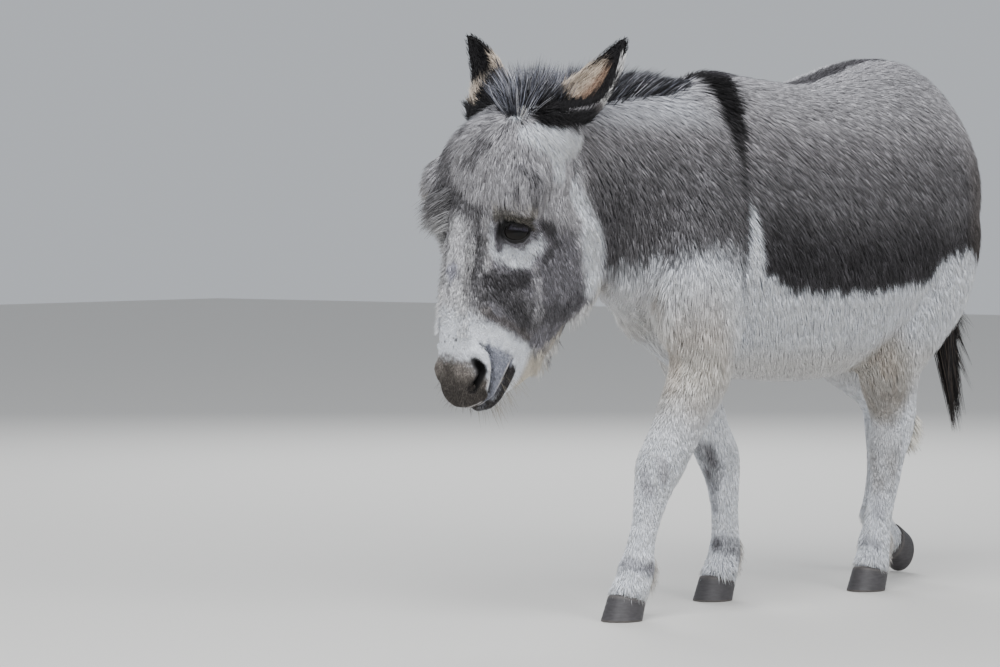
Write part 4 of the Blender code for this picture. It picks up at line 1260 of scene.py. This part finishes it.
def makeMane():
    rng = np.random.default_rng(61)
    count = mane["count"] // 1
    share = rng.random(count)
    # Crest of the neck from front to back, as the mane's solid lies on it
    stops = [0.0, 0.07, 0.22, 0.42, 0.64, 0.86, 1.0]
    back = np.interp(share, stops, [-0.560, -0.520, -0.452, -0.372, -0.282, -0.197, -0.127])
    mid = np.interp(share, stops, [-0.008, -0.011, -0.018, -0.018, -0.006, 0.007, 0.012])
    tall = np.interp(share, stops, [0.062, 0.076, 0.090, 0.088, 0.076, 0.050, 0.020])
    onCrest = columns(mid + mane["halfWidth"] * rng.normal(size=count) * 0.55, back, np.full(count, 1.2))
    tree = BVHTree.FromPolygons(skinPoints.tolist(), trianglesOf(skinMesh).tolist())
    roots, ups = [], []
    for spot in onCrest:
        hit = tree.ray_cast(Vector(spot), Vector((0, 0, -1)))
        roots.append(hit[0])
        ups.append(hit[1])
    roots, ups = np.array(roots), np.array(ups)
    offset = (onCrest[:, 0] - mid) / mane["halfWidth"]
    lean = np.interp(share, [0.0, 0.12, 0.35, 0.6, 1.0], [-0.50, -0.12, 0.35, 0.95, 1.3])
    fall = np.interp(share, [0.0, 0.30, 0.5, 1.0], [0.0, 0.0, 0.18, 0.35])
    way = columns(0.22 * offset + fall, lean + 0.18 * rng.normal(size=count), np.ones(count))
    poll = ramp(0.20, 0.04, share)
    way[:, 0] += 0.14 * rng.normal(size=count) + 0.95 * poll * offset
    way = unit(way)
    tall = tall * rng.uniform(0.62, 1.12, count) * (1 + 0.26 * poll)
    seeds, owner = nearestSeeds(roots, 12, 71)
    bend = columns(0.15 * rng.normal(size=count), 0.35 + 0.1 * rng.normal(size=count), np.full(count, -0.2))
    lines = [roots - ups * mane["rootDrop"]]
    for step in (0.25, 0.62, 1.0):
        lines.append(roots + way * (tall * step)[:, None] + unit(bend) * (tall * 0.16 * step ** 2)[:, None])
    lines = columns(*lines)
    goal = lines[seeds][owner]
    for index, pull in ((2, 0.18), (3, 0.40)):
        lines[:, index] += (goal[:, index] - lines[:, index]) * pull
    colours, paint = ground(count, (52, 52, 57))
    grey = rng.random(count) < np.interp(share, [0.0, 0.2, 0.4, 1.0], [0.55, 0.40, 0.18, 0.10])
    paint((104, 106, 117), grey * 1.0)
    paint("black", (rng.random(count) < 0.35) * 0.9)
    light = rng.random(count) < np.interp(share, [0.0, 0.2, 0.45, 1.0], [0.15, 0.17, 0.14, 0.05])
    paint((158, 158, 164), light * 0.9)
    colours *= np.exp(0.25 * rng.normal(size=len(seeds))[owner])[:, None]
    maps = columns(fitted(share, 0.02, 0.98), fitted(offset, 0.1, 0.9))
    # painted shade: each lock is darker at its root, lighter towards its tip
    mesh = tuftMesh("mane_hair", lines, np.tile((1.0, 0, 0), (count, 1)), mane["width"], [1.0, 0.8],
                    colours, [0.5, 0.8, 1.05, 1.30], maps)
    print("mane", len(mesh.polygons))
    finishPiece("mane_hair", mesh, hairFinish, ["mane"])


makeMane()


# Tail: long black hair hung from the end of the dock
tailHair = {"count": 1500, "width": 0.0016}


def makeTail():
    rng = np.random.default_rng(81)
    count = tailHair["count"] // 1
    start = rng.random(count) ** 0.8
    dockZ = 0.66 - 0.145 * start
    dockX = coat["midline"] + np.interp(dockZ, [0.52, 0.66], [0.002, 0.0])
    dockY = np.interp(dockZ, [0.52, 0.60, 0.68], [0.608, 0.606, 0.602])
    turn = rng.uniform(0, 2 * math.pi, count)
    out = columns(np.cos(turn), np.sin(turn) * 0.9, np.zeros(count))
    roots = columns(dockX, dockY, dockZ) + out * 0.010
    end = 0.245 + 0.21 * rng.random(count) ** 0.9
    drop = dockZ - end
    stations = [roots - out * 0.003]
    for step in (0.12, 0.40, 0.72, 1.0):
        middle = columns(np.full(count, coat["midline"] + 0.002 + 0.018 * step ** 1.3),
                         np.full(count, 0.608 + 0.036 * step ** 1.5), dockZ - step * drop)
        spread = 0.011 + 0.012 * math.sin(math.pi * min(step * 1.15, 1)) * 0.9
        wave = 0.004 * columns(np.sin(7 * step + turn * 3), np.cos(5 * step + turn * 2), np.zeros(count))
        loose = (1 - 0.60 * step ** 2) * rng.uniform(0.75, 1.1, count)[:, None]
        stations.append(middle + out * spread * loose + wave)
    lines = columns(*stations)
    # A few locks part from the rest near their ends
    stray = (rng.random(count) ** 3)[:, None] * (0.3 * out + (0.2, 0.9, 0.0))
    for index, far in ((2, 0.003), (3, 0.012), (4, 0.030)):
        lines[:, index] += stray * far
    seeds, owner = nearestSeeds(lines[:, -1], 14, 91)
    for index, pull in ((3, 0.35), (4, 0.65)):
        lines[:, index] += (lines[seeds][owner][:, index] - lines[:, index]) * pull
    colours, paint = ground(count, (34, 31, 31))
    paint((84, 74, 68), (rng.random(count) < 0.18) * 0.8)
    maps = columns(fitted(turn, 0.02, 0.98), fitted(end, 0.05, 0.95))
    # painted shade: the tail's hair is darker at its root, lighter towards its tip
    mesh = tuftMesh("tail_hair", lines, out, tailHair["width"], [1.0, 1.0, 0.8], colours,
                    [0.8, 1.0, 1.0, 1.1, 1.2], maps)
    print("tail", len(mesh.polygons))
    finishPiece("tail_hair", mesh, hairFinish, ["tail_tuft"])


makeTail()


# Hooves: wall with growth rings, bulbs of the heel, sole and frog
hooves = {
    "around": 56, "halfWidth": 0.0315, "halfLength": 0.0370, "toe": 0.043, "heel": 0.026, "inset": 0.0004,
    "tipped": math.radians(82), "tippedPlace": (0.629, 0.0362), "horn": (68, 66, 68), "worn": (96, 91, 86),
    # rings: share of the height, share of the width, and 0 for the sole, 1 for the wall or 2 for the top
    "sole": [(0.06, 0.10, 0), (0.045, 0.52, 0), (0.012, 0.80, 0), (0.0, 0.88, 0), (0.0, 0.985, 0),
             (0.02, 1.0, 0)],
    "top": [(0.96, 0.885, 2), (0.99, 0.83, 2), (0.985, 0.50, 2), (0.98, 0.10, 2)],
}


# Three hooves stand flat; the fourth rests on its toe
def hoofFrame(name):
    low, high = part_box("hoof_" + name)
    middle = (low.x + high.x) / 2
    if name == "hind_right":
        tipped = Matrix.Rotation(hooves["tipped"], 4, "X")
        return Matrix.Translation((middle, *hooves["tippedPlace"])) @ tipped
    return Matrix.Translation((middle, low.y + hooves["halfLength"], 0.0))


def makeHoof(name):
    bm = bmesh.new()
    rings, facts = [], []
    # every third ring of the wall stands out a little
    wall = [(0.02 + 0.90 * k / 12, 1.0 - 0.088 * k / 12 + (0.006 if k % 3 == 1 else 0.0), 1)
            for k in range(1, 13)]
    for level, spread, kind in hooves["sole"] + wall + hooves["top"]:
        ring = []
        for angle in 2 * math.pi * np.arange(hooves["around"]) / hooves["around"]:
            toe = 0.5 - 0.5 * math.sin(angle)
            height = hooves["heel"] + (hooves["toe"] - hooves["heel"]) * toe
            shrink = spread * (1 - hooves["inset"] / hooves["halfWidth"])
            heelPinch = 1 - 0.16 * max(math.sin(angle), 0) ** 4 * (1 if kind else 0.8)
            x = hooves["halfWidth"] * shrink * math.cos(angle) * heelPinch
            y = hooves["halfLength"] * shrink * math.sin(angle) + 0.47 * level * hooves["halfWidth"]
            z = level * height
            if kind == 0 and spread < 0.9:
                # frog: a low wedge from the heel to the middle of the sole
                wedge = max(0.0, 1 - abs(x) / (0.004 + 0.010 * max(math.sin(angle), 0)))
                z = max(z - 0.0022 * wedge * (math.sin(angle) > 0.1), 0.0002)
            ring.append((x, y, z))
            facts.append((level, kind))
        rings.append(ringOf(bm, ring))
    wallOver(bm, rings)
    bmesh.ops.transform(bm, matrix=hoofFrame(name), verts=bm.verts[:])
    for vert in bm.verts:
        vert.co.z = max(vert.co.z, 0.0)
    mesh = meshFrom(bm, "hoof_wall_" + name)
    level, kind = np.array(facts).T
    colours, paint = ground(len(level), hooves["horn"])
    paint(hooves["worn"], (kind == 0) * 0.6 + near(level, 0.0, 0.08) * 0.2)
    paint((108, 103, 98), near(level, 0.93, 0.10) * 0.4)
    paintMesh(mesh, colours)
    finishPiece("hoof_wall_" + name, mesh, hornFinish, ["hoof_" + name])


for name in hoofNames:
    makeHoof(name)
print("hooves finished")


# Strands, longer than the coat: each bends along its length from a root under the skin
# painted shade along each strand: darker at the root, lighter towards the tip
strandShades = [0.7, 0.95, 1.05, 1.1]  # from a strand's root to its tip


def strandPiece(name, roots, ways, lengths, widths, colours, bend, ups, darker=strandShades):
    lines = [roots - ups * 0.002]
    for step in (0.3, 0.65, 1.0):
        lines.append(roots + ways * (lengths * step)[:, None] + bend * (lengths * step ** 2)[:, None])
    lines = columns(*lines)
    maps = columns(fitted(roots[:, 1] + roots[:, 0], 0.05, 0.95), fitted(roots[:, 2], 0.05, 0.95))
    mesh = tuftMesh(name, lines, ups, widths, [1.0, 0.75], colours, darker, maps)
    print(name, len(mesh.polygons))
    finishPiece(name, mesh, hairFinish)


def chooseRoots(mask, count, seed):
    triangles = trianglesOf(skinMesh)
    kept = triangles[mask[triangles].all(axis=1)]
    area = areasOf(skinPoints, kept)
    rng = np.random.default_rng(seed)
    pick = rng.choice(len(kept), count, p=area / area.sum())
    return *spotsOn(skinPoints, skinNormals, kept[pick], rng), rng


whiskers = {
    "chin_whiskers": {"count": 130, "seed": 101, "out": 0.75, "down": 0.55, "stray": 0.15,
                      "long": (0.018, 0.040), "width": 0.0006, "shade": (150, 142, 130), "sag": 0.12},
    "lip_whiskers": {"count": 90, "seed": 103, "out": 1.0, "down": 0.3, "stray": 0.2,
                     "long": (0.006, 0.018), "width": 0.0005, "shade": (110, 104, 98), "sag": 0.15},
}


def makeWhiskers():
    _, back, level = toHead(skinPoints).T
    places = {"chin_whiskers": (level < -0.405) & (back > 0.004) & (back < 0.05),
              "lip_whiskers": (level < -0.425) & (back < 0.0)}
    down = turnFromHead((0, 0.25, -1.0))
    for name, hair in whiskers.items():
        spots, ups, rng = chooseRoots(places[name], hair["count"], hair["seed"])
        ways = unit(hair["out"] * ups + hair["down"] * down + hair["stray"] * rng.normal(size=ups.shape))
        strandPiece(name, spots, ways, rng.uniform(*hair["long"], len(spots)), hair["width"],
                    ground(len(spots), hair["shade"])[0], down * hair["sag"], ups)


feathers = {
    "hock_tuft": {"count": 640, "seed": 111, "long": 0.027, "shade": (238, 234, 225),
                  "way": (0.10, 0.50, -0.85)},
    "fetlock_hair": {"count": 1500, "seed": 113, "long": 0.022, "shade": (206, 202, 198),
                     "way": (0.0, 0.35, -1.0)},
}


def makeFeathers():
    x, y, z = skinPoints.T
    rearward = skinNormals[:, 1]
    places = {"hock_tuft": (z > 0.245) & (z < 0.305) & (y > 0.10) & (rearward > 0.30) & (x > 0.012),
              "fetlock_hair": (z > 0.055) & (z < 0.105) & (rearward > 0.45)}
    for name, hair in feathers.items():
        count = hair["count"]
        spots, ups, rng = chooseRoots(places[name], count, hair["seed"])
        ways = unit(np.array(hair["way"]) + 0.35 * ups + 0.12 * rng.normal(size=ups.shape))
        colours = varied(ground(count, hair["shade"])[0], 0.12, rng)
        strandPiece(name, spots, ways, hair["long"] * rng.uniform(0.6, 1.2, count), 0.0018, colours,
                    np.array((0, -0.05, -0.15)), ups)


# Looser hair that breaks the head's outline: the lines where it grows and their radius in millimetres, on
# both sides or one, its way in the head's frame, its fall, its length and its share of a paler shade
fringes = {
    "brow_fluff": {"count": 1900, "seed": 121, "way": (-0.82, -0.22, -0.52), "sag": (-0.04, 0.03, -0.30),
                   "rise": 0.30, "long": None, "pale": None, "lines": [
                       ("one", 12, [(-24, -93, -135), (-26, -92, -160), (-30, -91, -190)]),
                       ("one", 17, [(-40, -89, -142), (-42, -88, -160), (-48, -80, -186), (-54, -72, -206),
                                    (-54, -68, -222)])]},
    "jaw_fringe": {"count": 1500, "seed": 123, "way": (0.0, 0.40, -1.0), "sag": (0.0, -0.05, -0.20),
                   "rise": 0.15, "long": 0.024, "pale": 0.75, "lines": [
                       ("both", 11, [(56, 158, -245), (40, 166, -285), (22, 152, -322), (18, 130, -350),
                                     (16, 108, -382)]),
                       ("both", 10, [(70, 140, -275), (58, 126, -306), (44, 112, -338), (36, 96, -362)])]},
    "bridge_fringe": {"count": 1500, "seed": 125, "way": (0.34, -0.10, -1.0), "sag": (0.0, 0.0, -0.10),
                      "rise": 0.42, "long": 0.015, "pale": 0.25, "lines": [
                          ("both", 11, [(28, -88, -215), (26, -88, -250), (25, -88, -285), (25, -85, -318),
                                        (28, -78, -345)])]},
    "poll_tuft": {"count": 260, "seed": 127, "way": (0.05, -0.25, 1.0), "sag": (0.0, -0.10, 0.0),
                  "rise": 0.2, "long": 0.017, "pale": 1.0, "lines": [
                      ("one", 11, [(38, -26, -6), (44, -30, -8)])]},
}


def makeFringes():
    local = toHead(skinPoints)
    onHead = headShare(local) > 0.5
    folded = foldOver(local)
    for name, fringe in fringes.items():
        grown = [lineDistance(folded if where == "both" else local, mm(line)) < radius / 1000
                 for where, radius, line in fringe["lines"]]
        spots, ups, rng = chooseRoots(onHead & np.any(grown, axis=0), fringe["count"], fringe["seed"])
        inHead = toHead(spots)
        ways = np.tile(fringe["way"], (len(spots), 1))
        long, pale = fringe["long"], fringe["pale"]
        if name == "brow_fluff":  # its locks gather towards a point in front of the far eye
            long = np.interp(inHead[:, 2], [-0.225, -0.200, -0.172, -0.140], [0.013, 0.020, 0.042, 0.050])
            ways = unit(unit(ways) + 0.6 * unit(np.array((-0.094, -0.098, -0.186)) - inHead))
            pale = np.interp(inHead[:, 2], [-0.195, -0.160], [0.40, 0.12])
        elif name == "bridge_fringe":
            ways[:, 0] *= np.sign(inHead[:, 0])
        ways = unit(turnFromHead(unit(ways)) + fringe["rise"] * ups + 0.14 * rng.normal(size=ups.shape))
        colours = coatColours(spots)
        paintOver(colours, (214, 213, 212), np.full(len(spots), pale))
        colours = varied(colours, 0.22, rng)
        # painted shade: the strands are darker at the root, the brow's fluff more so
        strandPiece(name, spots, ways, long * rng.uniform(0.45, 1.2, len(spots)), 0.0013, colours,
                    turnFromHead(fringe["sag"]), ups,
                    [0.55, 0.75, 1.0, 1.2] if name == "brow_fluff" else strandShades)


makeWhiskers()
makeFeathers()
makeFringes()
print("long hair finished")


# Studio: pale floor, soft light, camera
studio = {"floor": (214, 212, 208), "sky": (0.86, 0.90, 0.96), "skyStrength": 0.60, "lens": 148.7,
          "camera": (3.970, -5.564, 0.675), "down": 1.95, "turn": 38.67}

bm = bmesh.new()
bmesh.ops.create_grid(bm, x_segments=1, y_segments=1, size=14.0)
floorMesh = meshFrom(bm, "floor")
if floorMesh.polygons[0].normal.z < 0:
    floorMesh.flip_normals()
floorMesh.materials.append(makeFinish("floor", 0.85, 0.2, Base_Color=(*tone(studio["floor"]), 1)))
floor = newObject("floor", floorMesh)
floor.location.z = -0.0005

world = bpy.data.worlds.new("studio")
bpy.context.scene.world = world
world.use_nodes = True
sky = world.node_tree.nodes["Background"].inputs
sky["Color"].default_value = (*studio["sky"], 1)
sky["Strength"].default_value = studio["skyStrength"]


def areaLight(name, place, aim, size, power, colour=(1, 1, 1)):
    light = bpy.data.lights.new(name, "AREA")
    light.energy = power
    light.shape = "DISK"
    light.size = size
    light.color = colour
    made = newObject(name, light)
    made.location = place
    made.rotation_euler = (Vector(aim) - Vector(place)).to_track_quat("-Z", "Y").to_euler()


areaLight("key", (1.6, -3.4, 4.2), (0, 0, 0.5), 4.2, 285, (0.97, 0.985, 1.0))
areaLight("fill", (4.2, -1.2, 3.2), (0, 0, 0.5), 2.6, 96)
areaLight("back", (-2.8, 3.2, 3.0), (0, 0, 0.6), 2.2, 130, (0.96, 0.98, 1.0))

lens = bpy.data.cameras.new("camera")
lens.lens = studio["lens"]
lens.sensor_width = 36.0
camera = newObject("camera", lens)
camera.location = studio["camera"]
camera.rotation_euler = (math.radians(90 - studio["down"]), 0, math.radians(studio["turn"]))
bpy.context.scene.camera = camera
